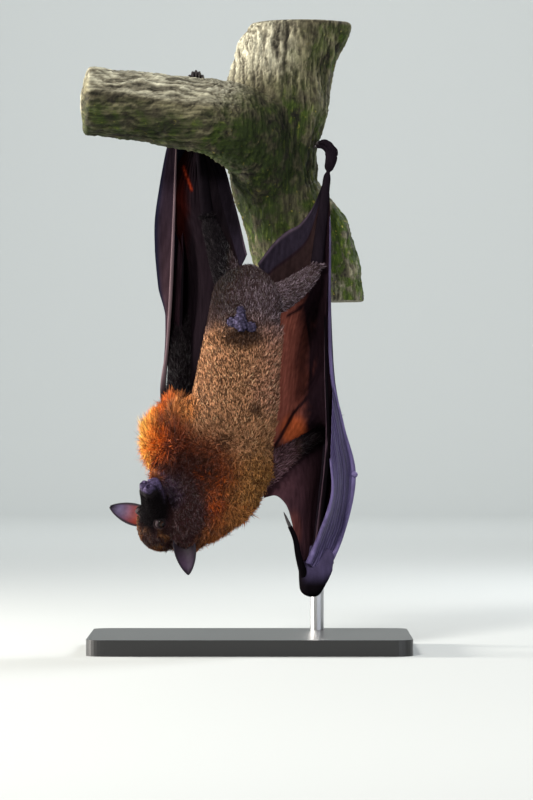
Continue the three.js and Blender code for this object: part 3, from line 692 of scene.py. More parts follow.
def limb_axes():
    """Axis of each part of the body: its joints and its radius at each."""
    axes = {"trunk": (TRUNK[:, :3], TRUNK[:, 3:5].mean(axis=1))}
    head = HEAD_CENTRE + HEAD[1:-1, :1] * HEAD_AXES[0] - HEAD_AXES[2] * 3
    axes["head"] = (head, HEAD[1:-1, 3] * 1.12)
    for side in SIDES:
        leg, wrist, palm = LEGS[side], WINGS[side]["wrist"], palm_way(side)
        arm, forearm = arm_joints(side)
        axes[f"upper_arm_{side}"] = (arm, THICKNESS["upper_arm"])
        axes[f"forearm_{side}"] = (forearm, THICKNESS["forearm"])
        axes[f"wrist_{side}"] = ([wrist - 10 * palm, wrist + 18 * palm], [14, 16])
        axes[f"thigh_{side}"] = (leg["thigh"], THICKNESS["thigh"])
        axes[f"shank_{side}"] = ([leg["thigh"][3], leg["ankle"], leg["knuckles"]], [7, 6, 8])
    axes["shoulder_left"] = ([(-75, -20, 196), (-75, -20, 224)], [36, 36])
    axes["shoulder_right"] = ([(2, -22, 178), (2, -22, 190)], [23, 23])
    axes["groin"] = ([(-17, -62, 326), (2, -62, 321)], [9, 9])
    axes["groin_root"] = ([(-9, -55, 340), (-8, -64, 316)], [7, 7])
    return {name: (np.array(joints, float), np.array(radii, float))
            for name, (joints, radii) in axes.items()}


AXES = limb_axes()
AXIS_NAMES = list(AXES)


def nearest_axis(points):
    """Index of the limb each point belongs to, and the way along that limb."""
    best = np.full(len(points), np.inf)
    index = np.zeros(len(points), int)
    way = np.zeros((len(points), 3))
    for number, name in enumerate(AXIS_NAMES):
        joints, radii = AXES[name]
        for a, b, near, far in zip(joints[:-1], joints[1:], radii[:-1], radii[1:]):
            along = b - a
            share = np.clip((points - a) @ along / (along @ along), 0, 1)
            distance = np.linalg.norm(points - a - share[:, None] * along, axis=1)
            ratio = distance / mix(near, far, share)
            closer = ratio < best
            best[closer] = ratio[closer]
            index[closer] = number
            way[closer] = unit(along)
    return index, way


def belongs(index, *starts):
    chosen = [number for number, name in enumerate(AXIS_NAMES) if name.startswith(starts)]
    return np.isin(index, chosen)


def spot(points, centre, radii):
    """1 at a centre (x, z), falling smoothly to 0 at the radii, as seen from the front."""
    offset = (points[:, [0, 2]] - np.array(centre, float)) / np.array(radii, float)
    return 1 - step(0.4, 1.0, np.linalg.norm(offset, axis=1))


def from_line(points, line):
    """Distance of each point from a line through (x, z) joints, as seen from the front."""
    seen = points[:, [0, 2]]
    nearest = np.full(len(points), np.inf)
    for a, b in zip(line[:-1], line[1:]):
        a, along = np.array(a, float), np.array(b, float) - a
        share = np.clip((seen - a) @ along / (along @ along), 0, 1)
        gap = np.linalg.norm(seen - a - share[:, None] * along, axis=1)
        nearest = np.minimum(nearest, gap)
    return nearest


def flat(colour, points):
    """The colour, once for each point."""
    return np.tile(colour, (len(points), 1))


def layered(colour, *layers):
    """Lays (colour, share) layers over a colour, one after the other."""
    for other, share in layers:
        colour = mix(colour, np.array(other), np.atleast_1d(share)[:, None])
    return colour


def where(mask, first, second):
    return np.where(mask[:, None], first, second)


def trunk_colour(points, normals):
    """Colour of the coat's tips on the trunk: grizzled tan, grey rump, orange mantle and dark back,
    with a painted rim light on the mantle's left edge, a painted shadow under the groin and painted
    shade on the left flank.
    """
    x, _, z = points.T
    drift = 7 * waves(points, 42, 3)
    front = step(0.45, -0.1, normals[:, 1])
    mantle = step(-70, -87, x + 0.9 * drift) * step(285, 262, z)
    blotch = step(-0.1, 0.25, waves(points, 14, 8)) * spot(points, (-79, 208), (19, 46))
    embers = step(0.3, 0.8, waves(points, 11, 9)) * spot(points, (-34, 150), (40, 42))
    # painted rim light: the mantle's left edge, as if lit from behind
    rim = step(-86, -98, x + 0.3 * drift) * step(158, 175, z)
    hem = step(-0.15, -0.7, normals[:, 2]) * step(160, 140, z)
    colour = layered(
        flat(TAN, points),
        (PINK_TAN, 0.8 * step(-4, 24, x + drift) * step(215, 250, z)),
        (OLIVE_GOLD, step(212, 180, z + drift) * step(-50, -22, x + drift)),
        (GREY, step(300, 336, z + drift + 0.15 * x)),
        (RUMP_DARK, 0.9 * step(4, -22, x + drift) * step(305, 345, z)),
        (RUMP_DARK, 0.7 * step(352, 374, z)),
        (ORANGE_TAN, spot(points, (-66, 238), (22, 26))),
        (RED_BROWN, 0.9 * spot(points, (-46, 182), (50, 46))),
        (RED_BROWN, 0.9 * spot(points, (-70, 204), (24, 34))),
        (RED_BROWN, step(166, 148, z) * step(-8, -30, x + drift)),
        (ORANGE, mantle),
        (THROAT, 0.9 * blotch),
        (THROAT, 0.95 * spot(points, (-60, 180), (42, 34))),
        (ORANGE, 0.8 * embers),
        (DARK_ROOT, 0.8 * spot(points, (-25, 208), (7, 9))),
        (DARK_ROOT, 0.7 * spot(points, (4, 238), (8, 9))),
        # painted shadow under the groin
        (DARK_ROOT, 0.9 * spot(points, (-7, 309), (30, 15))),
        # painted shade on the belly's left flank
        (DARK_ROOT, 0.6 * step(-38, -56, x) * step(262, 285, z)),
        # painted rim light on the mantle's left edge
        (RIM_LIGHT_ORANGE, 0.95 * rim),
        (ORANGE_TAN, 0.6 * hem),
    )
    back = layered(flat(ORANGE, points), (BACK_BROWN, step(214, 240, z + drift)))
    return mix(back, colour, front[:, None])


def near_head(points):
    """1 on the throat and cheek beside the head, where the mantle's orange hasn't begun."""
    offset = points - (HEAD_CENTRE + vec(16, -4, 12))
    return 1 - step(29, 45, np.linalg.norm(offset * vec(1, 0.7, 0.85), axis=1))


def in_mantle(points):
    """1 where the long hair of the mantle stands, on the left shoulder, and 0 on the belly."""
    drift = 6 * waves(points, 26, 12)
    return step(-56, -80, points[:, 0] + drift) * step(148, 158, points[:, 2])


def head_colour(points):
    """Colour of the coat's tips on the head: dark cheek, brown crown, black mask, lit muzzle."""
    local = head_local(points)
    ahead, _, up = local.T
    streaks = step(0.0, 0.5, waves(local * vec(0.22, 1, 1), 7, 31))
    lit = np.maximum(step(-7, -13, up) * step(24, 36, ahead), 0.8 * step(51, 55, ahead))
    # the painted highlight on the muzzle is broken into patches
    highlight_patches = 0.45 + 0.55 * step(-0.5, 0.6, waves(local * vec(0.6, 1, 1.6), 3.5, 32))
    return layered(
        flat(CHEEK, points),
        (CROWN, step(1, 9, up) * step(13, 2, ahead) * streaks),
        (FACE, step(4, 16, ahead + 0.4 * up) * step(-71, -85, points[:, 0])),
        (MUZZLE_LIT, lit * highlight_patches),
    )


def coat_colour(points, normals, index):
    """Colour of the coat's tips all over the body."""
    x = points[:, 0]
    beside_head = near_head(points)
    colour = layered(
        trunk_colour(points, normals),
        (CHEEK, beside_head),
        # painted light: the lit side of the jaw, painted onto the coat beside the head
        (LIT_JAW, 0.8 * spot(points, (-82, 160), (24, 22)) * beside_head),
    )
    behind = step(-16, -30, head_local(points)[:, 0])
    head = mix(head_colour(points), colour, behind[:, None])
    # the left thigh's coat turns black toward the left: painted shade
    thigh = layered(flat(GREY, points), (BLACK, 0.97 * step(-8, -24, x)))
    shaded = np.maximum(0.97 * step(24, 50, x), 0.99 * step(-20, -50, x))
    arm = layered(flat(ARM_FUR, points), (BLACK, shaded))
    colour = where(belongs(index, "head"), head, colour)
    colour = where(belongs(index, "thigh"), thigh, colour)
    colour = where(belongs(index, "upper_arm"), arm, colour)
    return where(belongs(index, "shank", "forearm", "wrist"), LIMB, colour)


def dark_roots(colours):
    """The dark brown of the hairs' roots, or half the coat's own colour where that is darker."""
    return np.minimum(np.array(DARK_ROOT), 0.5 * colours)


def pale_tips(points, index):
    """How much light a pale tuft's tip adds: most on the cheek, whose hairs are thin and white."""
    on_cheek = step(10, -2, head_local(points)[:, 0])
    rump = 0.08 * step(300, 330, points[:, 2]) * step(-38, -20, points[:, 0])
    elsewhere = np.maximum(0.03 + 0.035 * near_head(points), rump)
    elsewhere[(points[:, 0] < -30) & (points[:, 2] > 300)] = 0.012
    return np.where(belongs(index, "head"), 0.09 * on_cheek, elsewhere)


def skin_colour(points, normals, index):
    """Colour of the skin between the hairs, which carries the coat's markings, and of bare skin."""
    coat = coat_colour(points, normals, index)
    local = head_local(points)
    # painted sheen: the wrist's skin by the hand takes the hand's slate sheen
    slate_sheen = step(64, 80, points[:, 2]) * step(50, 60, points[:, 0])
    wrist = layered(flat(BLACK, points), (WRIST_SLATE_SHEEN, 0.8 * slate_sheen))
    # painted highlights on the wrinkled groin, in patches
    highlight_patches = step(-0.2, 0.7, waves(points, 4.5, 92))
    groin = layered(flat(GROIN_SKIN, points), (GROIN_HIGHLIGHT, 0.7 * highlight_patches))
    colour = where(belongs(index, "wrist"), wrist, mix(dark_roots(coat), coat, 0.22))
    colour[belongs(index, "shank", "forearm")] = LIMB
    # painted shade: the left shank and forearm are black as if in deep shadow
    colour[belongs(index, "shank_left", "forearm_left")] = BLACK
    colour = where(belongs(index, "groin"), groin, colour)
    head = belongs(index, "head")
    face = head & (local[:, 0] > 6)
    colour[face] = head_colour(points[face])
    # painted highlight along the rim of the upper lid
    upper_lid = step(0.5, 3.5, local[:, 2] - EYE["above"])
    ring = bell(near_eye(points) - EYE_RADIUS - 0.9, 0.5) * head
    return layered(colour, (LID_HIGHLIGHT, 0.7 * ring * upper_lid))


# For each part of the coat: its slot, the tufts' length, the share of it by which their tips
# stand off the skin, their width, their number on a square millimetre and the dark ones' share.
COATS = {
    "pelvis": ("grey_fur", 5.5, 0.55, 0.72, 2.85, 0.74),
    "belly_front": ("belly_fur", 5.2, 0.66, 0.92, 2.8, 0.57),
    "belly_back": ("belly_fur", 8.0, 0.34, 0.92, 1.4, 0.6),
    "chest_front": ("mantle_fur", 6.5, 0.66, 0.66, 3.7, 0.5),
    "chest_back": ("mantle_fur", 11.0, 0.45, 0.90, 1.6, 0.4),
    "neck_front": ("mantle_fur", 8.5, 0.62, 0.62, 3.6, 0.45),
    "neck_back": ("mantle_fur", 12.0, 0.45, 0.85, 1.9, 0.3),
    "shoulder": ("mantle_fur", 12.0, 0.72, 0.60, 3.4, 0.22),
    "head": ("face_fur", 5.6, 0.40, 0.45, 4.2, 0.62),
    "legs": ("grey_fur", 5.5, 0.5, 0.66, 2.2, 0.68),
    "arms": ("arm_fur", 8.0, 0.65, 0.70, 1.7, 0.45),
}
WISPY = ("chest_front", "neck_front", "neck_back", "shoulder")   # locks of uneven length
DENSITY = 1    # share of the tufts that grow
BROADER = 1     # fewer tufts are broader ones


def coat_names(points, normals, index):
    """Which part of the coat each point grows, or an empty name where the skin is bare."""
    z = points[:, 2]
    front = normals[:, 1] < 0.15
    ahead = head_local(points)[:, 0]
    names = np.full(len(points), "", dtype="U16")
    trunk = belongs(index, "trunk", "shoulder")
    names[trunk & (z >= 318)] = "pelvis"
    names[trunk & (z < 318) & front] = "belly_front"
    names[trunk & (z < 318) & ~front] = "belly_back"
    names[trunk & (z < 226) & front] = "chest_front"
    names[trunk & (z < 226) & ~front] = "chest_back"
    low = 158 - 0.35 * (points[:, 0] + 48)
    names[trunk & (z < low) & front] = "neck_front"
    names[trunk & (z < low) & ~front] = "neck_back"
    names[trunk & (in_mantle(points) > 0.6)] = "shoulder"
    names[belongs(index, "head") & (ahead < 47)] = "head"
    names[belongs(index, "thigh")] = "legs"
    names[belongs(index, "upper_arm")] = "arms"
    return names


def lie_of_coat(points, normals, index, way):
    """The way the hair points on each part, before it is laid along the skin."""
    z = points[:, 2]
    lie = np.zeros_like(points)
    lie[:, 2] = 1.0
    lie[:, 0] += 0.35 * waves(points, 34, 21)
    low = step(235, 190, z)[:, None]
    lie = mix(lie, vec(-0.2, 0, -0.25) + 0.9 * normals, low)
    nape = step(170, 135, z)[:, None]
    lie = mix(lie, vec(0.55, 0, -1.0), 0.8 * nape)
    head = belongs(index, "head")
    lie[head] = -HEAD_AXES[0] - 0.25 * HEAD_AXES[2] * np.sign(head_local(points)[head, 2:3])
    limbs = belongs(index, "thigh", "upper_arm")
    lie[limbs] = way[limbs]
    return unit(lie)


# ------------------------------------------------------------------ tufts

TUFT_FACES = np.array([
    [0, 2, 1], [0, 3, 2], [0, 1, 3], [4, 1, 2], [4, 2, 3], [4, 3, 1],
])


def sample_roots(triangles, weights, random):
    """Random points on triangles (n, 3, 3), as many on each as its weight asks for."""
    count = int(weights.sum())
    chosen = random.choice(len(triangles), size=count, p=weights / weights.sum())
    a, b = random.random((2, count))
    flip = a + b > 1
    a[flip], b[flip] = 1 - a[flip], 1 - b[flip]
    corners = triangles[chosen]
    roots = (corners[:, 0] + a[:, None] * (corners[:, 1] - corners[:, 0])
             + b[:, None] * (corners[:, 2] - corners[:, 0]))
    return roots, chosen


def tufts(roots, normals, lies, lengths, lifts, widths, random):
    """Five points for each tuft: its root, three at its thickest and its tip."""
    count = len(roots)
    clumps = np.stack([waves(roots, 5.5, seed, octaves=2) for seed in (41, 42, 43)], -1)
    stray = random.normal(scale=0.45, size=(count, 3)) + 0.55 * clumps
    flat = unit(lies + stray - normals * np.sum((lies + stray) * normals, axis=1)[:, None])
    lengths = lengths * random.uniform(0.65, 1.2, count)
    lifts = lifts * random.uniform(0.6, 1.25, count)
    middle = roots + flat * (0.36 * lengths)[:, None] + normals * (0.62 * lengths * lifts)[:, None]
    tip = roots + flat * (0.9 * lengths)[:, None] + normals * (lengths * lifts)[:, None]
    axis = unit(tip - roots)
    side = unit(np.cross(axis, normals) + 1e-6)
    rise = np.cross(side, axis)
    turn = random.uniform(0, 2 * np.pi, count)
    points = np.empty((count, 5, 3))
    points[:, 0] = roots - normals * 0.4
    for corner in range(3):
        angle = turn + corner * 2 * np.pi / 3
        spoke = side * np.cos(angle)[:, None] + rise * np.sin(angle)[:, None]
        points[:, 1 + corner] = middle + spoke * (widths / 2)[:, None]
    points[:, 4] = tip
    return points


def tuft_unwrap(roots, part):
    """Place of each root on an unwrap of the skin: round the limb it grows on, and along it."""
    if part == "head":
        ahead, side, up = head_local(roots).T
        return np.column_stack([np.arctan2(up, side) / (2 * np.pi) + 0.5, (ahead + 40) / 100])
    centre = np.array([
        np.interp(roots[:, 2], TRUNK[::-1, 2], TRUNK[::-1, 0]),
        np.interp(roots[:, 2], TRUNK[::-1, 2], TRUNK[::-1, 1]),
    ]).T
    angle = np.arctan2(roots[:, 1] - centre[:, 1], roots[:, 0] - centre[:, 0])
    return np.column_stack([angle / (2 * np.pi) + 0.5, (roots[:, 2] - 80) / 320])


def add_bake_map(mesh, places):
    """A patch 0.003 across for each tuft, at its root's place on the unwrap of the skin."""
    corners = np.array([(0.5, 0), (0, 0.5), (1, 0.5), (0.5, 0.7), (0.5, 1)]) * 0.003 - 0.0015
    loops = corners[TUFT_FACES.ravel()]
    spread = np.clip(places, 0.002, 0.998)[:, None] + loops[None]
    layer = mesh.uv_layers.new(name="OFBake")
    layer.data.foreach_set("uv", spread.astype(np.float32).ravel())


def add_tuft_piece(name, roots, shapes, root_colours, tip_colours, unwrap_name, material):
    """One piece of coat, dark at the tufts' roots and brightest at their tips."""
    count = len(roots)
    faces = (TUFT_FACES[None] + 5 * np.arange(count)[:, None, None]).reshape(-1, 3)
    mesh = mesh_from(name, shapes.reshape(-1, 3), [faces])
    colours = np.empty((count, 5, 3))
    colours[:, 0] = root_colours * 0.6
    colours[:, 1:4] = mix(root_colours, tip_colours, 0.5)[:, None]
    colours[:, 4] = tip_colours * 1.15
    paint(mesh, "tint", np.clip(colours.reshape(-1, 3), 0, 1))
    add_bake_map(mesh, tuft_unwrap(roots, unwrap_name))
    piece = add_object(name, mesh, [material], smooth=False)
    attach(piece, "root")
    return piece


def grizzle(colours, dark_share, added_light, random):
    """Tips of single tufts: most keep the coat's colour, many are dark and some are pale."""
    count = len(colours)
    grizzled = colours * random.uniform(0.6, 1.35, count)[:, None]
    dark = random.random(count) < dark_share
    grizzled[dark] = mix(grizzled[dark], dark_roots(grizzled[dark]), 0.9)
    pale = random.random(count) < 0.16
    grizzled[pale] = grizzled[pale] * 1.6 + added_light[pale, None]
    return grizzled


def tuft_sizes(part, roots):
    """Length, lift, width and share of dark ones for the tufts at the roots."""
    _, length, lift, width, _, dark = COATS[part]
    if part in ("chest_front", "neck_front"):
        _, mantle_length, mantle_lift, _, _, mantle_dark = COATS["shoulder"]
        share = in_mantle(roots)
        length = mix(length, mantle_length, share)
        lift = mix(lift, mantle_lift, share)
        dark = mix(dark, mantle_dark, share)
    length, lift, dark = (np.ones(len(roots)) * value for value in (length, lift, dark))
    width = np.full(len(roots), width) * BROADER
    if part == "head":
        shorter = mix(1, 0.24, step(-10, 30, head_local(roots)[:, 0]))
        length *= shorter
        width *= mix(0.75, 1, shorter)
    if part.startswith(("neck", "chest", "shoulder")):
        length *= mix(1, 0.55, near_head(roots))
    if part == "belly_front":
        length *= 1 + 0.7 * step(16, 26, roots[:, 0])
    if part in WISPY:
        length *= 1 + 0.45 * waves(roots, 10, 44, octaves=2)
    return length, lift, width, dark


def grow_coat(mesh, material):
    """The whole coat over the body's skin, one piece for each part of it."""
    random = np.random.default_rng(11)
    mesh.calc_loop_triangles()
    indices = np.empty(len(mesh.loop_triangles) * 3, np.int32)
    mesh.loop_triangles.foreach_get("vertices", indices)
    corners = indices.reshape(-1, 3)
    triangles = points_of(mesh)[corners]
    middles = triangles.mean(axis=1)
    face_normals = unit(normals_of(mesh)[corners].sum(axis=1))
    areas = np.linalg.norm(np.cross(triangles[:, 1] - triangles[:, 0],
                                    triangles[:, 2] - triangles[:, 0]), axis=1) / 2
    index, way = nearest_axis(middles)
    names = coat_names(middles, face_normals, index)
    names[near_eye(middles) < EYE_RADIUS + 1.9] = ""
    for part, (slot, _, _, _, density, _) in COATS.items():
        weights = areas * density * (names == part) * DENSITY
        roots, chosen = sample_roots(triangles, weights, random)
        normal, root_index = face_normals[chosen], index[chosen]
        lies = lie_of_coat(roots, normal, root_index, way[chosen])
        length, lift, width, dark = tuft_sizes(part, roots)
        shapes = tufts(roots, normal, lies, length, lift, width, random)
        colours = coat_colour(roots, normal, root_index)
        tips = grizzle(colours, dark, pale_tips(roots, root_index), random)
        base = mix(dark_roots(colours), colours, 0.18)
        coat = add_tuft_piece(f"coat_{part}", roots, shapes, base, tips, part, material)


def near_eye(points):
    """Distance of each point from the nearer eye's centre."""
    local = head_local(points)
    local[:, 1] = np.abs(local[:, 1])
    return np.linalg.norm(local - vec(EYE["forward"], EYE["apart"], EYE["above"]), axis=1)


# ------------------------------------------------------------------ wings, tail skin and ears

def over_ribs(ribs, fullest, relief):
    """point_at(u, v) of the skin stretched over ribs (from, to) or (from, to, sag)."""
    starts = np.array([rib[0] for rib in ribs], float)
    ends = np.array([rib[1] for rib in ribs], float)
    sags = np.array([rib[2] if len(rib) > 2 else (0, 0, 0) for rib in ribs], float)
    skew = math.log(0.5) / math.log(fullest)

    def point_at(u, v):
        fullness = np.sin(np.pi * np.clip(u, 1e-6, 1) ** skew)[:, None]
        points = mix(spline(starts, v), spline(ends, v), u[:, None])
        return points + spline(sags, v) * fullness + relief(u, v)

    return point_at


def arm_membrane_ribs(side):
    """From the arm, the flank and the leg to the fifth finger and the trailing edge."""
    shoulder, elbow, wrist = (WINGS[side][key] for key in ("shoulder", "elbow", "wrist"))
    _, knuckle, middle, tip = WINGS[side]["fifth"]
    thigh, ankle = LEGS[side]["thigh"], LEGS[side]["ankle"]
    knee = thigh[3]
    bow = vec(*TRAILING_EDGE_BOW[side])

    def toward_ankle(share):
        return between(tip, ankle, share) + bow * math.sin(math.pi * share)

    def behind_arm(share):
        return between(elbow, shoulder, share) + vec(0, 7, 3)

    leaves, sags = FLANK[side]
    last = between(thigh[1], thigh[2], 0.5) if side == "right" else thigh[2]
    ends = [*split(middle, tip, 0.35, 0.75), toward_ankle(0.06), toward_ankle(0.3)]
    flank = [(start, end, (0, sag, 0)) for start, end, sag in zip([*leaves, last], ends, sags)]
    return [
        (wrist, between(wrist, knuckle, 0.02)),
        (between(wrist, elbow, 0.08), between(wrist, knuckle, 0.14)),
        (between(wrist, elbow, 0.5), between(wrist, knuckle, 0.6)),
        (behind_arm(0), knuckle),
        (behind_arm(0.45), between(knuckle, middle, 0.5)),
        (behind_arm(0.8), middle),
        *flank,
        (knee, toward_ankle(0.55)),
        (between(knee, ankle, 0.5), toward_ankle(0.8)),
        (between(knee, ankle, 0.93), toward_ankle(0.98)),
    ]


def fore_membrane_ribs(side):
    """From the arm's front to the free edge between shoulder and wrist."""
    shoulder, elbow, wrist = (WINGS[side][key] for key in ("shoulder", "elbow", "wrist"))
    arm = split(shoulder, elbow, 0.1, 0.4, 0.8) + split(elbow, wrist, 0.1, 0.45, 0.85)
    return list(zip(arm, FORE_EDGE[side]))


def tail_membrane_ribs(side):
    """From the leg's inner side to the tail skin's free edge."""
    thigh, ankle = LEGS[side]["thigh"], LEGS[side]["ankle"]
    knee = thigh[3]
    leg = [between(thigh[0], thigh[1], 0.6), thigh[1], between(thigh[2], knee, 0.3),
           *split(knee, ankle, 0.1, 0.45, 0.92)]
    return list(zip(leg, TAIL_EDGE[side]))


def finger_membrane_ribs(near, far):
    shares = [0.01, 0.14, 0.35, 0.55, 0.75, 0.97]
    return list(zip(spline(near, shares), spline(far, shares)))


def outer_fold_ribs(wing):
    """Between the fourth and third fingers at each height, bulging to the left."""
    def at_height(finger, height):
        upper = next((joint for joint in finger[3:] if joint[2] >= height), finger[-1])
        below = finger[finger.index(upper) - 1]
        return between(below, upper, (height - below[2]) / (upper[2] - below[2]))

    return [(at_height(wing["fourth"], height), at_height(wing["third"], height),
             (-bulge, 0, 0)) for height, bulge in OUTER_FOLD]


def pleats(count, depth, way, fine=0.0):
    """Folds that run along v, as a shift of the skin along `way`, with finer ones between."""
    way = unit(vec(*way))

    def shift(u, v):
        wander = u + 0.03 * np.sin(5 * v + 2) + 0.012 * np.sin(13 * v)
        wave = np.sin(2 * np.pi * count * wander)
        narrow = 1 - 2 * np.abs(np.sin(np.pi * count * 4.3 * wander + 1.3))
        edge = np.sin(np.pi * np.clip(u, 0, 1)) ** 0.5
        return ((depth * wave + fine * narrow) * edge)[:, None] * way

    return shift


def arm_creases():
    """Low folds down the arm's skin, with finer creases across them near the wrist."""
    fold = pleats(2.2, 0.6, (0.4, 1, 0), fine=0.22)

    def shift(u, v):
        radial = 0.22 * np.sin(46 * v + 6 * u) * np.sin(np.pi * u) * step(0.30, 0.16, v)
        tremble = 0.16 * np.sin(90 * v + 9 * np.sin(7 * u)) * np.sin(np.pi * u)
        return fold(u, v) + (radial + tremble)[:, None] * vec(0, -1, 0)

    return shift


def lit_arm_skin(points, drift):
    """The right arm's skin: red where light comes through, with dark cords across it."""
    x, _, z = points.T
    warm = step(64, 40, x + drift) * step(176, 225, z) * step(400, 330, z + drift)
    fine = np.sin(x * 1.4 - z * 0.6 + 6 * waves(points, 22, 52))
    colour = layered(
        flat(WING_DARK, points),
        (WING_RED, warm),
        (WING_GLOW, 0.85 * spot(points, (43, 220), (17, 20))),
        (WING_PLUM, step(200, 170, z) * step(60, 44, x)),
        (WING_RED, 0.6 * spot(points, (47, 122), (11, 24))),
        (WING_RED, 0.7 * spot(points, (42, 176), (14, 16))),
    )
    cords = [(WING_DARK, 0.95 * step(2.6, 0.9, from_line(points, line))) for line in ARM_CREASES]
    # painted highlights along two wrinkles of the skin
    pocket = [(WING_MAUVE, 0.9 * step(1.2, 0.3, from_line(points, line))) for line in POCKET_LINES]
    return layered(colour * (1 + 0.13 * fine * warm)[:, None], *cords, *pocket)


def dark_arm_skin(points, drift):
    """The left arm's skin: nearly black, as painted shade, with a painted red glow of light through it
    high up at the left, and one dull red streak.
    """
    x, _, z = points.T
    backlit = step(360, 420, z + drift) * step(-58, -68, x + 0.3 * drift)
    from_streak = from_line(points, LEFT_STREAK)
    return layered(
        flat(WING_DARK, points),
        # painted shade darkens the whole sheet
        (BLACK, 0.8),
        # painted red glow of light through the skin
        (BACKLIT_RED, 0.9 * backlit),
        (STREAK_EDGE, step(2.6, 0.6, from_streak)),
        (STREAK, 0.7 * step(1.4, 0.3, from_streak)),
    )


def tail_skin(points, left, u):
    """Brown by the leg, then a darker band with a pale rim, in shade toward the ankle."""
    band = step(0.52, 0.60, u)
    shaded = step(398, 430, points[:, 2]) if left else step(432, 462, points[:, 2])
    return layered(
        flat(WING_DARK, points),
        (TAIL_BROWN, 1 - band),
        (TAIL_BAND, band),
        (WING_DARK, 0.9 * bell(u - 0.54, 0.03)),
        (TAIL_RIM, 0.6 * bell(u - 0.97, 0.03)),
        (BLACK, 0.7 * (1 - band) * left),
        (BLACK, 0.9 * shaded),
    )


def slate_sheen_skin(points, u, v):
    """The skin before the right hand's third finger: a painted slate sheen, with painted highlights on
    the crests of its pleats and painted shade between them.
    """
    across = 0.5 + 0.5 * np.sin(56 * u + 3.0 * np.sin(3 * v) + 2 * waves(points, 40, 62))
    crest = step(0.2, 0.0, across) * (0.4 + 0.6 * step(0.6, 0.2, v))
    return layered(
        flat(SLATE_SHEEN, points),
        (SHADED_SLATE_SHEEN, 0.8 * across),
        (RIDGE_HIGHLIGHT, 0.55 * crest),
        (SHADED_SLATE_SHEEN, 0.9 * bell(u - 0.80, 0.035)),
        (RIDGE_HIGHLIGHT, 0.6 * step(0.92, 0.99, u)),
    )


def wing_colour(points, kind, u, v):
    """Colour of the bare skin: red where light comes through, a painted slate sheen on the hand, else
    dark.
    """
    drift = 5 * waves(points, 30, 51)
    colour = flat(WING_DARK, points)
    if kind == "arm_right":
        colour = lit_arm_skin(points, drift)
    elif kind == "arm_left":
        colour = dark_arm_skin(points, drift)
    elif kind.startswith("tail"):
        colour = tail_skin(points, kind == "tail_left", u)
    elif kind == "slate_sheen":
        colour = slate_sheen_skin(points, u, v)
    elif kind == "fore":
        colour = layered(colour, (WING_PLUM, step(0.2, 0.9, u)),
                         (WING_RED, 0.35 * spot(points, (44, 120), (10, 26))))
    elif kind == "outer_left":
        toward_front = step(0.62, 0.86, u) * (0.5 + 0.5 * step(470, 350, points[:, 2]))
        colour = layered(colour, (BLUE_BLACK, 0.85), (WING_MAUVE, toward_front))
    # the outer sheet of the right hand: a dim painted slate sheen, brighter toward the third finger
    elif kind == "outer_right":
        colour = layered(colour, (SHADED_SLATE_SHEEN, 0.8), (SLATE_SHEEN, 0.6 * step(0.8, 0.97, u)))
    mottle = 1 + 0.22 * waves(points * vec(1, 1, 0.25), 5, 61)
    return np.clip(colour * mottle[:, None], 0, 1)


def membrane_sheets(side):
    """Every sheet of a wing: (points, faces, colours) and the number of its material."""
    wing = WINGS[side]
    right = side == "right"
    outer = (finger_membrane_ribs(wing["fourth"], wing["third"]) if right
             else outer_fold_ribs(wing))
    index_ribs = finger_membrane_ribs(wing["index"], wing["third"][:JOINTS_BEFORE_INDEX[side]])
    sheets = [
        (f"arm_{side}", arm_membrane_ribs(side), 0.68, 74, 170, arm_creases()),
        ("fore", fore_membrane_ribs(side), 0.5, 30, 70, pleats(4, 0.3, (0, 1, 0))),
        (f"tail_{side}", tail_membrane_ribs(side), 0.5, 44, 76,
         pleats(1.5, 0.7, (0.4, 1, 0), fine=0.25)),
        ("slate_sheen" if right else "dark", index_ribs, 0.5, 56 if right else 24, 110,
         pleats(3.2, 0.5, (0.3, -1, 0), fine=0.34)),
        ("outer_right" if right else "outer_left", outer, 0.5, 32, 110,
         pleats(2.2, 0.35, (0.5, 1, 0), fine=0.12)),
        ("dark", finger_membrane_ribs(wing["fifth"], wing["fourth"]), 0.5, 20, 80,
         pleats(2, 0.4, (0.5, 1, 0), fine=0.2)),
    ]
    for kind, ribs, fullest, across, along, relief in sheets:
        points, faces, uv = shell(over_ribs(ribs, fullest, relief), across, along)
        material = SATIN if kind in ("slate_sheen", "outer_right") else DULL
        yield (points, faces, wing_colour(points, kind, uv[:, 0], uv[:, 1])), material


def facing_of(points, joints):
    """How far each point of a finger lies to its left: -1 on its left side and 1 on its right."""
    joints = np.array(joints)
    middle = np.interp(points[:, 2], joints[:, 2], joints[:, 0])
    offset = points[:, 0] - middle
    return np.clip(offset / np.maximum(np.abs(offset).max() * 0.4, 1e-6), -1, 1)


def finger_colour(points, joints, side, finger):
    """A painted slate sheen with painted highlight streaks on the right hand's two foremost fingers;
    black with a pale edge on the others.
    """
    z = points[:, 2]
    if side == "left":
        lit = step(250, 280, z) * (finger == "third")
        return layered(flat(BLACK, points), (FINGER_LIT, lit))
    if finger in ("index", "third"):
        # painted highlight streaks along the ridges of these fingers
        highlight_streaks = 0.35 + 0.5 * step(0, 0.7, waves(points, 12, 71))
        return layered(flat(SLATE_SHEEN, points), (RIDGE_HIGHLIGHT, highlight_streaks),
                       (WING_DARK, step(255, 330, z) * 0.6))
    pale_side = step(-0.5, -0.9, facing_of(points, joints)) * (finger != "thumb")
    return layered(flat(BLACK, points), (FINGER_EDGE, 0.7 * pale_side))


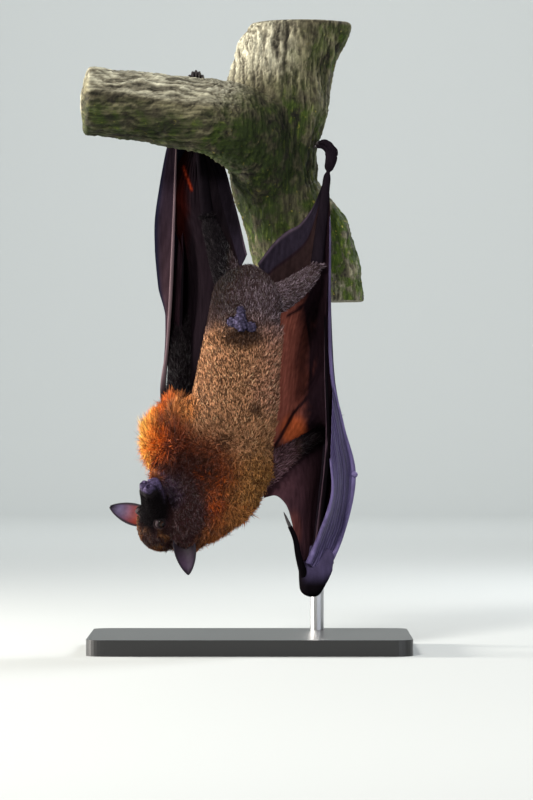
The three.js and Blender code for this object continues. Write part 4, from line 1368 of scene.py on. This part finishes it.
def finger_tubes(side):
    """Each finger: (points, faces, colours) and the number of its material."""
    for finger in ("thumb", "index", "third", "fourth", "fifth"):
        count = 4 if finger == "thumb" else None
        joints, thick = WINGS[side][finger][:count], THICKNESS[finger][:count]
        points, faces = jointed(joints, thick, sides=12, rings=64, cap=0.02)
        slate_sheen = side == "right" and finger in ("index", "third")
        colour = finger_colour(points, joints, side, finger)
        yield (points, faces, colour), SATIN if slate_sheen else DULL
    if side == "right":
        centre, radius = KNOB
        points, faces = ball(centre, (radius,) * 3, 20, 14)
        # the knob carries the painted ridge highlight
        yield (points, faces, flat(RIDGE_HIGHLIGHT, points)), SATIN


def ear_sheet(side):
    """A pointed leaf, cupped across, red-brown inside near its root, with a dark rim and tip."""
    ear = EARS[side]
    root, tip = vec(*ear["root"]), vec(*ear["tip"])
    axis = tip - root
    away = unit(axis)
    sideways = unit(vec(*ear["across"]) - away * (away @ vec(*ear["across"])))
    hollow = np.cross(away, sideways)
    if hollow[1] < 0:
        hollow = -hollow

    def point_at(u, v):
        half = (EAR_WIDTH / 2) * np.sin(np.pi * (0.36 + 0.636 * v)) ** 0.7
        offset = (2 * u - 1) * half
        cup = EAR_CUP * (1 - (2 * u - 1) ** 2) * (1 - 0.75 * v)
        ribs = 0.12 * np.sin(26 * v) * np.sin(np.pi * u)
        return (root + v[:, None] * axis + offset[:, None] * sideways
                + (cup + ribs)[:, None] * hollow)

    points, faces, uv = shell(point_at, 26, 40, EAR_THICKNESS)
    u, v = uv.T
    inside = np.arange(len(points)) < len(points) // 2    # the first half of a sheet's points
    rim = np.maximum(step(0.36, 0.47, np.abs(u - 0.5)), step(0.75, 1.0, v))
    inner, tip_colour = EAR_COLOURS[side]
    colour = mix(np.array(inner), np.array(tip_colour), step(0.15, 0.75, v)[:, None])
    colour = layered(colour, (EAR_RIM, rim))
    outside = layered(flat(EAR_OUTSIDE, points), (EAR_OUTSIDE_RIM, rim))
    return points, faces, where(inside if side == "left" else ~inside, colour, outside)


def toe_tubes(side):
    """Each toe: (points, faces, colours) and the number of its material."""
    for joints in toe_paths(side):
        points, faces = jointed(joints[:4], THICKNESS["toe"][:4],
                                across=LEGS[side]["spread"], sides=12, rings=30, cap=0.1)
        yield (points, faces, flat(LIMB, points)), DULL


# ------------------------------------------------------------------ materials

def feed(node, **values):
    """Sets inputs to plain values, or links them to other nodes' outputs."""
    for key, value in values.items():
        socket = node.inputs[key.replace("_", " ")]
        if isinstance(value, bpy.types.NodeSocket):
            node.id_data.links.new(value, socket)
        else:
            socket.default_value = value


def new_node(tree, kind, output, settings=None, **values):
    """One output of a new node; each value is plain or another node's output."""
    node = tree.nodes.new(f"ShaderNode{kind}")
    for key, value in (settings or {}).items():
        setattr(node, key, value)
    feed(node, **values)
    return node.outputs[output]


def node_material(name, roughness, **values):
    """A material, its node tree and its shader."""
    material = bpy.data.materials.new(name)
    material.use_nodes = True
    shader = material.node_tree.nodes["Principled BSDF"]
    feed(shader, Roughness=roughness, **values)
    return material, material.node_tree, shader


def scaled_coordinates(tree, scale):
    place = new_node(tree, "TexCoord", "Object")
    return new_node(tree, "Mapping", "Vector", Vector=place, Scale=scale)


def noise_node(tree, scale, coordinates, detail=4.0, roughness=0.6):
    return new_node(tree, "TexNoise", "Fac", Vector=coordinates, Scale=scale, Detail=detail,
                    Roughness=roughness)


def shade_range(tree, factor, low, high, start=0.25, stop=0.75):
    return new_node(tree, "MapRange", "Result", Value=factor, From_Min=start, From_Max=stop,
                    To_Min=low, To_Max=high)


def painted(tree, name, output="Fac"):
    """What `paint` stored in the mesh under that name."""
    return new_node(tree, "Attribute", output, {"attribute_name": name})


def colour_mix(tree, first, second, factor, blend="MIX"):
    return new_node(tree, "Mix", "Result", {"data_type": "RGBA", "blend_type": blend},
                    A=first, B=second, Factor=factor)


def arithmetic(tree, operation, first, second, clamped=False):
    node = tree.nodes.new("ShaderNodeMath")
    node.operation = operation
    node.use_clamp = clamped
    tree.links.new(first, node.inputs[0])
    tree.links.new(second, node.inputs[1])
    return node.outputs[0]


def ramp_node(tree, factor, stops):
    colour = new_node(tree, "ValToRGB", "Color", Fac=factor)
    elements = colour.node.color_ramp.elements
    while len(elements) < len(stops):
        elements.new(0.5)
    for element, (place, shade) in zip(elements, stops):
        element.position = place
        element.color = (*shade, 1)
    return colour


def add_bump(tree, shader, height, distance):
    feed(shader, Normal=new_node(tree, "Bump", "Normal", Height=height,
                                 Distance=distance * METRES, Strength=1.0))


def tint_shader(tree, shader, variation):
    """Base colour from the painted tint, multiplied by a varying shade."""
    tint = painted(tree, "tint", "Color")
    feed(shader, Base_Color=colour_mix(tree, tint, variation, 1.0, "MULTIPLY"))


def tinted_material(name, roughness, specular, grain_scale, shades, stretch=1, bump=0):
    """Painted colours under a fine grain, which is drawn out upward where stretch is under 1."""
    material, tree, shader = node_material(name, roughness, Specular_IOR_Level=specular)
    grain = noise_node(tree, grain_scale, scaled_coordinates(tree, (1, 1, stretch)))
    tint_shader(tree, shader, shade_range(tree, grain, *shades))
    if bump:
        add_bump(tree, shader, grain, bump)
    return material


def wing_material(name, roughness, specular):
    material, tree, shader = node_material(name, roughness, Specular_IOR_Level=specular)
    veins = noise_node(tree, 160, scaled_coordinates(tree, (1, 1, 0.12)), detail=6)
    pores = noise_node(tree, 1500, scaled_coordinates(tree, (1, 1, 0.6)))
    tint_shader(tree, shader, shade_range(tree, veins, 0.7, 1.35))
    add_bump(tree, shader, arithmetic(tree, "ADD", veins, shade_range(tree, pores, 0, 0.25)), 0.8)
    return material


def eye_material():
    material, tree, shader = node_material("eye", 0.08, Specular_IOR_Level=0.18)
    feed(shader, Base_Color=painted(tree, "tint", "Color"))
    return material


def claw_material():
    material, tree, shader = node_material("claw", 0.28)
    streaks = noise_node(tree, 700, scaled_coordinates(tree, (1, 1, 0.3)))
    horn = ramp_node(tree, streaks, [(0, (0.006, 0.005, 0.006)), (1, (0.05, 0.04, 0.04))])
    feed(shader, Base_Color=horn)
    add_bump(tree, shader, streaks, 0.1)
    return material


# ------------------------------------------------------------------ building the animal

FLESH = ["head", "pelvis", "belly", "chest", "neck", "groin"]
FLESH += [f"{part}_{side}" for side in SIDES for part in (
    "ear", "thigh", "shank", "foot", "upper_arm", "forearm", "wrist", "thumb", "index_finger",
    "third_finger", "fourth_finger", "fifth_finger", "arm_membrane", "fore_membrane",
    "tail_membrane", "finger_membrane_2_3", "finger_membrane_3_4", "finger_membrane_4_5")]


def build_body_mesh():
    """The furred body as one mesh, finer at the face and the groin."""
    mesh = remeshed(body_parts(), VOXEL, 4)
    points = points_of(mesh)
    local = head_local(points)
    face = (local[:, 0] > -4) & (np.abs(local[:, 1]) < 24) & (np.abs(local[:, 2]) < 24)
    refine(mesh, face | belongs(nearest_axis(points)[0], "groin"))
    points = points_of(mesh)
    ahead = head_local(points)[:, 0]
    refine(mesh, (near_eye(points) < 11) | ((ahead > 44) & (ahead < 60) & (near_eye(points) < 60)))
    sculpt(mesh)
    return mesh


DULL, EAR_SLOT, SATIN = 1, 2, 3   # materials of the skin after the furred one


def build_skin(body_mesh):
    """One skin over the whole animal: the furred body, then the bare wings, toes and ears."""
    index, _ = nearest_axis(points_of(body_mesh))
    tint = skin_colour(points_of(body_mesh), normals_of(body_mesh), index)
    paint(body_mesh, "tint", tint)
    skin = add_object("skin", body_mesh)
    for one in (tinted_material("furred_skin", 0.6, 0.06, 900, (0.55, 1.5), 0.45, 0.5),
                wing_material("wing_skin", 0.6, 0.0),
                tinted_material("ear_skin", 0.6, 0.2, 350, (0.8, 1.2), 1, 0.25),
                wing_material("satin_skin", 0.42, 0.22)):
        skin.data.materials.append(one)
    slots = np.where(belongs(index, "shank", "forearm", "groin", "wrist"), DULL, 0)
    firsts = np.array([polygon.vertices[0] for polygon in body_mesh.polygons])
    body_mesh.polygons.foreach_set("material_index", slots[firsts].astype(np.int32))
    extras = []
    for side in SIDES:
        extras += [*membrane_sheets(side), *finger_tubes(side), *toe_tubes(side),
                   (ear_sheet(side), EAR_SLOT)]
    for slot in (DULL, EAR_SLOT, SATIN):
        parts = [part for part, number in extras if number == slot]
        points, face_sets = join_parts([(part[0], part[1]) for part in parts])
        mesh = mesh_from("extra", points, face_sets)
        paint(mesh, "tint", np.vstack([part[2] for part in parts]))
        extra = add_object("extra", mesh)
        for one in skin.data.materials:
            mesh.materials.append(one)
        mesh.polygons.foreach_set("material_index", np.full(len(mesh.polygons), slot, np.int32))
        join_into(skin, extra)
    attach(skin, "root")
    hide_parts(*FLESH)


def join_into(target, other):
    work = bmesh.new()
    work.from_mesh(target.data)
    work.from_mesh(other.data)
    work.to_mesh(target.data)
    work.free()
    bpy.data.objects.remove(other)


def build_eyes():
    """Two dark balls with a raised cornea, turned outward and forward."""
    material = eye_material()
    for sign, side in ((1, "right"), (-1, "left")):
        centre = head_points(vec(EYE["forward"], sign * EYE["apart"], EYE["above"])[None])[0]
        points, faces = ball((0, 0, 0), (1, 1, 1), 48, 40)
        look = unit(HEAD_AXES[1] * sign + 0.35 * HEAD_AXES[0])
        turn = Vector((0, 0, 1)).rotation_difference(Vector(look)).to_matrix()
        middle = points[:, 2]
        radius = EYE_RADIUS * (1 + 0.07 * step(0.72, 1.0, middle))
        placed = centre + (points @ np.array(turn).T) * radius[:, None]
        mesh = mesh_from(f"eye_{side}", placed, faces)
        paint(mesh, "tint", layered(flat(EYE_WHITE, points), (IRIS, step(0.8, 0.9, middle)),
                                    (PUPIL, step(0.92, 0.94, middle))))
        eye = add_object(f"eyeball_{side}", mesh, [material])
        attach(eye, "root")
        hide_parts(f"eye_{side}")


def build_claws():
    """Claws of toes and thumbs: tapering horns that curve on past the last joint."""
    parts = []
    for side in SIDES:
        for joints in toe_paths(side):
            path = spline(joints, [0.72, 0.82, 0.92, 1.0])
            parts.append(jointed(path, [1.7, 1.6, 1.1, 0.25], sides=10, rings=16, cap=0.1,
                                 across=LEGS[side]["spread"]))
        thumb = WINGS[side]["thumb"]
        path = spline(thumb, [0.7, 0.8, 0.9, 1.0])
        parts.append(jointed(path, [1.9, 1.7, 1.2, 0.3], sides=10, rings=20, cap=0.1))
    points, face_sets = join_parts(parts)
    claws = add_object("claws", mesh_from("claws", points, face_sets), [claw_material()])
    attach(claws, "root")


# ------------------------------------------------------------------ perch and stand

def ridged(points, scale, shift):
    """Noise with sharp crests, 0 in the furrows and 1 on the ridges."""
    values = [noise.noise(Vector(point)) for point in points * scale + shift]
    return np.clip(1 - 2.4 * np.abs(np.array(values)), 0, 1)


def bark_relief(points):
    """Height of the bark from 0 to 1: long ridges that part and meet, broken by finer ones."""
    x, y, z = points.T
    on_branch = step(20, -40, x) * step(470, 500, z)
    along = mix(z, x, on_branch) + 5 * waves(points, 60, 81)
    round_branch = np.arctan2(y + 25, z - 540) * 36
    round_trunk = np.arctan2(y - 58, x - 35) * 46
    around = mix(round_trunk, round_branch, on_branch) + 4 * waves(points, 45, 82)
    depth = np.hypot(y, x) * 0.02
    coarse = ridged(np.stack([around, along * 0.17, depth], -1), 0.105, 3.0)
    middle = ridged(np.stack([around, along * 0.24, depth], -1), 0.26, 17.0)
    fine = ridged(np.stack([around, along * 0.5, depth], -1), 0.55, 29.0)
    return 0.42 * coarse + 0.36 * middle + 0.22 * fine


def bark_material():
    """Grey-brown ridges over dark furrows, with moss, specks of yellow lichen and painted shade."""
    material, tree, shader = node_material("bark", 0.88, Specular_IOR_Level=0.25)
    place = scaled_coordinates(tree, (1, 1, 1))
    height, moss, painted_shade, pale, lying = (
        painted(tree, name) for name in ("height", "moss", "painted_shade", "pale", "lying"))
    upright, level = (
        noise_node(tree, 300, scaled_coordinates(tree, scale), detail=8, roughness=0.7)
        for scale in ((1, 1, 0.13), (0.13, 1, 1)))
    grain = colour_mix(tree, upright, level, lying)
    patches = noise_node(tree, 70, place, detail=6)
    dark_wood = ramp_node(tree, height, [
        (0.12, (0.012, 0.010, 0.006)), (0.42, (0.060, 0.052, 0.030)), (0.85, (0.19, 0.17, 0.10))])
    pale_wood = ramp_node(tree, height, [
        (0.12, (0.030, 0.026, 0.018)), (0.42, (0.17, 0.155, 0.11)), (0.85, (0.50, 0.48, 0.36))])
    wood = colour_mix(tree, dark_wood, pale_wood, pale)
    wood = colour_mix(tree, wood, shade_range(tree, grain, 0.30, 1.8, 0.32, 0.68), 1.0, "MULTIPLY")
    moss_colour = ramp_node(tree, grain, [
        (0.32, (0.014, 0.022, 0.004)), (0.55, (0.060, 0.095, 0.012)), (0.72, (0.24, 0.29, 0.045))])
    cover = shade_range(tree, patches, 0.0, 1.8, 0.40, 0.62)
    surface = colour_mix(tree, wood, moss_colour, arithmetic(tree, "MULTIPLY", moss, cover, True))
    lichen = shade_range(tree, noise_node(tree, 210, place, detail=3), 0.0, 1.0, 0.66, 0.72)
    flecks = arithmetic(tree, "MULTIPLY", moss, lichen, True)
    surface = colour_mix(tree, surface, (0.42, 0.36, 0.07, 1.0), flecks)
    # painted shade: the bark is darkened where shadow falls
    surface = colour_mix(tree, surface, (0.24, 0.25, 0.20, 1.0), painted_shade, "MULTIPLY")
    feed(shader, Base_Color=surface)
    add_bump(tree, shader, grain, 2.6)
    return material


def build_perch():
    """Trunk and branch as one piece of bark, cut plainly at its three ends."""
    parts = []
    for node in ("perch_trunk", "perch_branch"):
        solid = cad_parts[node].data
        faces = [polygon.vertices[:] for polygon in solid.polygons]
        points = points_of(solid)
        parts.append((points + normals_of(solid) * 0.5, [np.array(faces)]))
    mesh = remeshed(parts, WOOD_VOXEL, 16)
    points, normals = points_of(mesh), normals_of(mesh)
    height = bark_relief(points)
    low, high = (np.array(corner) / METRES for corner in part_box("perch_trunk"))
    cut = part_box("perch_branch")[0][0] / METRES
    x, y, z = points.T
    end = np.minimum(np.minimum(z - low[2], high[2] - z), x - cut)
    swelling = 1.4 * waves(points, 34, 83)
    points += normals * ((3.0 * (height - 0.5) + swelling) * step(0.8, 4, end))[:, None]
    move_points(mesh, points)
    mesh.update()
    rings = 0.55 + 0.3 * np.sin(np.hypot(x - 45, y - 58) * 2.2) * (z > 500)
    face = end < 0.8
    paint(mesh, "height", np.where(face, rings, height))
    paint(mesh, "lying", step(20, -40, x) * step(470, 500, z))
    top = step(0.1, 0.7, normals[:, 2]) * step(10, -30, x)
    upper = step(560, 600, z) * step(60, 15, x)
    low_right = step(40, 80, x) * step(460, 420, z)
    paint(mesh, "pale", np.where(face, 0.75, np.clip(top + 0.8 * upper + 0.25 * low_right, 0, 1)))
    # Painted shade: the left underside and the front of the fork are darkened as if in shadow.
    shaded = step(-10, -75, x) * step(0.2, -0.5, normals[:, 2])
    fork = spot(points, (18, 480), (80, 100)) * step(0.4, -0.2, normals[:, 1])
    paint(mesh, "painted_shade", np.where(face, 0, np.clip(0.85 * shaded + 0.95 * fork, 0, 0.95)))
    right = step(45, 85, x) * step(470, 430, z)
    under = step(0.2, -0.4, normals[:, 2]) * 0.5
    behind = 0.5 * step(0.1, 0.7, normals[:, 1])
    paint(mesh, "moss", np.where(face, 0, np.clip(right + 0.6 * fork + under + behind, 0, 1)))
    perch = add_object("perch_bark", mesh, [bark_material()])
    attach(perch, "root")
    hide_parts("perch_trunk", "perch_branch")


def build_stand():
    """The flat base, its edges rounded, and the steel rod."""
    material, tree, shader = node_material("stand_lacquer", 0.35, Base_Color=(0.02, 0.02, 0.02, 1))
    grain = noise_node(tree, 40, scaled_coordinates(tree, (0.1, 1, 1)), detail=6)
    add_bump(tree, shader, grain, 0.15)
    copy = add_object("stand_base_finish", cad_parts["stand_base"].data.copy())
    mesh = applied(copy, ("BEVEL", {"width": 1.2 * METRES, "segments": 3, "limit_method": "ANGLE"}))
    mesh.materials.clear()
    base = add_object("stand_base_finish", mesh, [material], smooth=False)
    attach(base, "root")
    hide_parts("stand_base")
    steel, tree, shader = node_material("stand_steel", 0.32, Metallic=1.0,
                                        Base_Color=(0.55, 0.55, 0.56, 1))
    brushed = noise_node(tree, 900, scaled_coordinates(tree, (0.05, 0.05, 1)))
    add_bump(tree, shader, brushed, 0.05)
    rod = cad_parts["stand_rod"]
    rod.data.materials.clear()
    rod.data.materials.append(steel)


# ------------------------------------------------------------------ stage

FLOOR_FRONT = -9000
FLOOR_HALF = 12000
BEND_START = 5200
BEND_RADIUS = 1500
WALL_TOP = 9000
MIDDLE = (0, 0, 0.3)
LIGHTS = {                        # place, target and size in metres, power in watts and colour
    "key": ((-0.9, -2.1, 1.9), MIDDLE, 0.6, 78, (1, 0.97, 0.93)),
    "fill": ((2.0, -2.0, 0.5), MIDDLE, 1.6, 14, (0.84, 0.88, 1.0)),
    "rim": ((-1.9, 0.3, 0.5), MIDDLE, 0.5, 95, (1, 0.95, 0.88)),
    "back": ((1.3, 1.6, 1.5), MIDDLE, 0.8, 45, (0.95, 0.97, 1.0)),
    "wall": ((0, 3.2, 3.4), (0, 6.7, 1.0), 2.5, 150, (0.97, 0.99, 1.0)),
}


def add_light(name, place, target, size, power, colour):
    data = bpy.data.lights.new(name, "AREA")
    data.shape = "DISK"
    data.size = size
    data.energy = power
    data.color = colour
    light = bpy.data.objects.new(name, data)
    light.location = place
    light.rotation_euler = (Vector(target) - Vector(place)).to_track_quat("-Z", "Y").to_euler()
    bpy.context.scene.collection.objects.link(light)


def build_camera():
    """A long lens straight before the animal."""
    data = bpy.data.cameras.new("camera")
    data.sensor_fit = "VERTICAL"
    data.sensor_height = SENSOR
    data.lens = CAMERA_LENS
    data.clip_end = 50
    camera = bpy.data.objects.new("camera", data)
    camera.location = Vector(CAMERA_PLACE) * METRES
    camera.rotation_euler = (math.pi / 2, 0, 0)
    bpy.context.scene.collection.objects.link(camera)
    bpy.context.scene.camera = camera
    bpy.context.scene.view_settings.view_transform = "Standard"


def build_floor():
    """A floor that bends up into a wall far behind the animal."""
    bend = np.linspace(0, math.pi / 2, 25)
    depth = np.concatenate([[FLOOR_FRONT], BEND_START + BEND_RADIUS * np.sin(bend),
                            [BEND_START + BEND_RADIUS]])
    rise = np.concatenate([[0], BEND_RADIUS - BEND_RADIUS * np.cos(bend), [WALL_TOP]])
    sweep = np.array([(x, y, z) for x in (-FLOOR_HALF, FLOOR_HALF) for y, z in zip(depth, rise)],
                     float)
    near = np.arange(len(depth) - 1)
    far = near + len(depth)
    floor_mesh = mesh_from("floor", sweep, [np.stack([near, far, far + 1, near + 1], -1)])
    floor_material = node_material("floor", 0.8, Base_Color=(0.50, 0.52, 0.51, 1))[0]
    add_object("floor", floor_mesh, [floor_material])


def build_stage():
    build_camera()
    build_floor()
    world = bpy.data.worlds.new("world")
    world.use_nodes = True
    feed(world.node_tree.nodes["Background"], Color=(0.86, 0.90, 0.92, 1), Strength=0.30)
    bpy.context.scene.world = world
    for name, light in LIGHTS.items():
        add_light(name, *light)


build_stage()
build_stand()
build_perch()
body_mesh = build_body_mesh()
grow_coat(body_mesh, tinted_material("coat", 0.6, 0.04, 420, (0.75, 1.25)))
build_skin(body_mesh)
build_eyes()
build_claws()
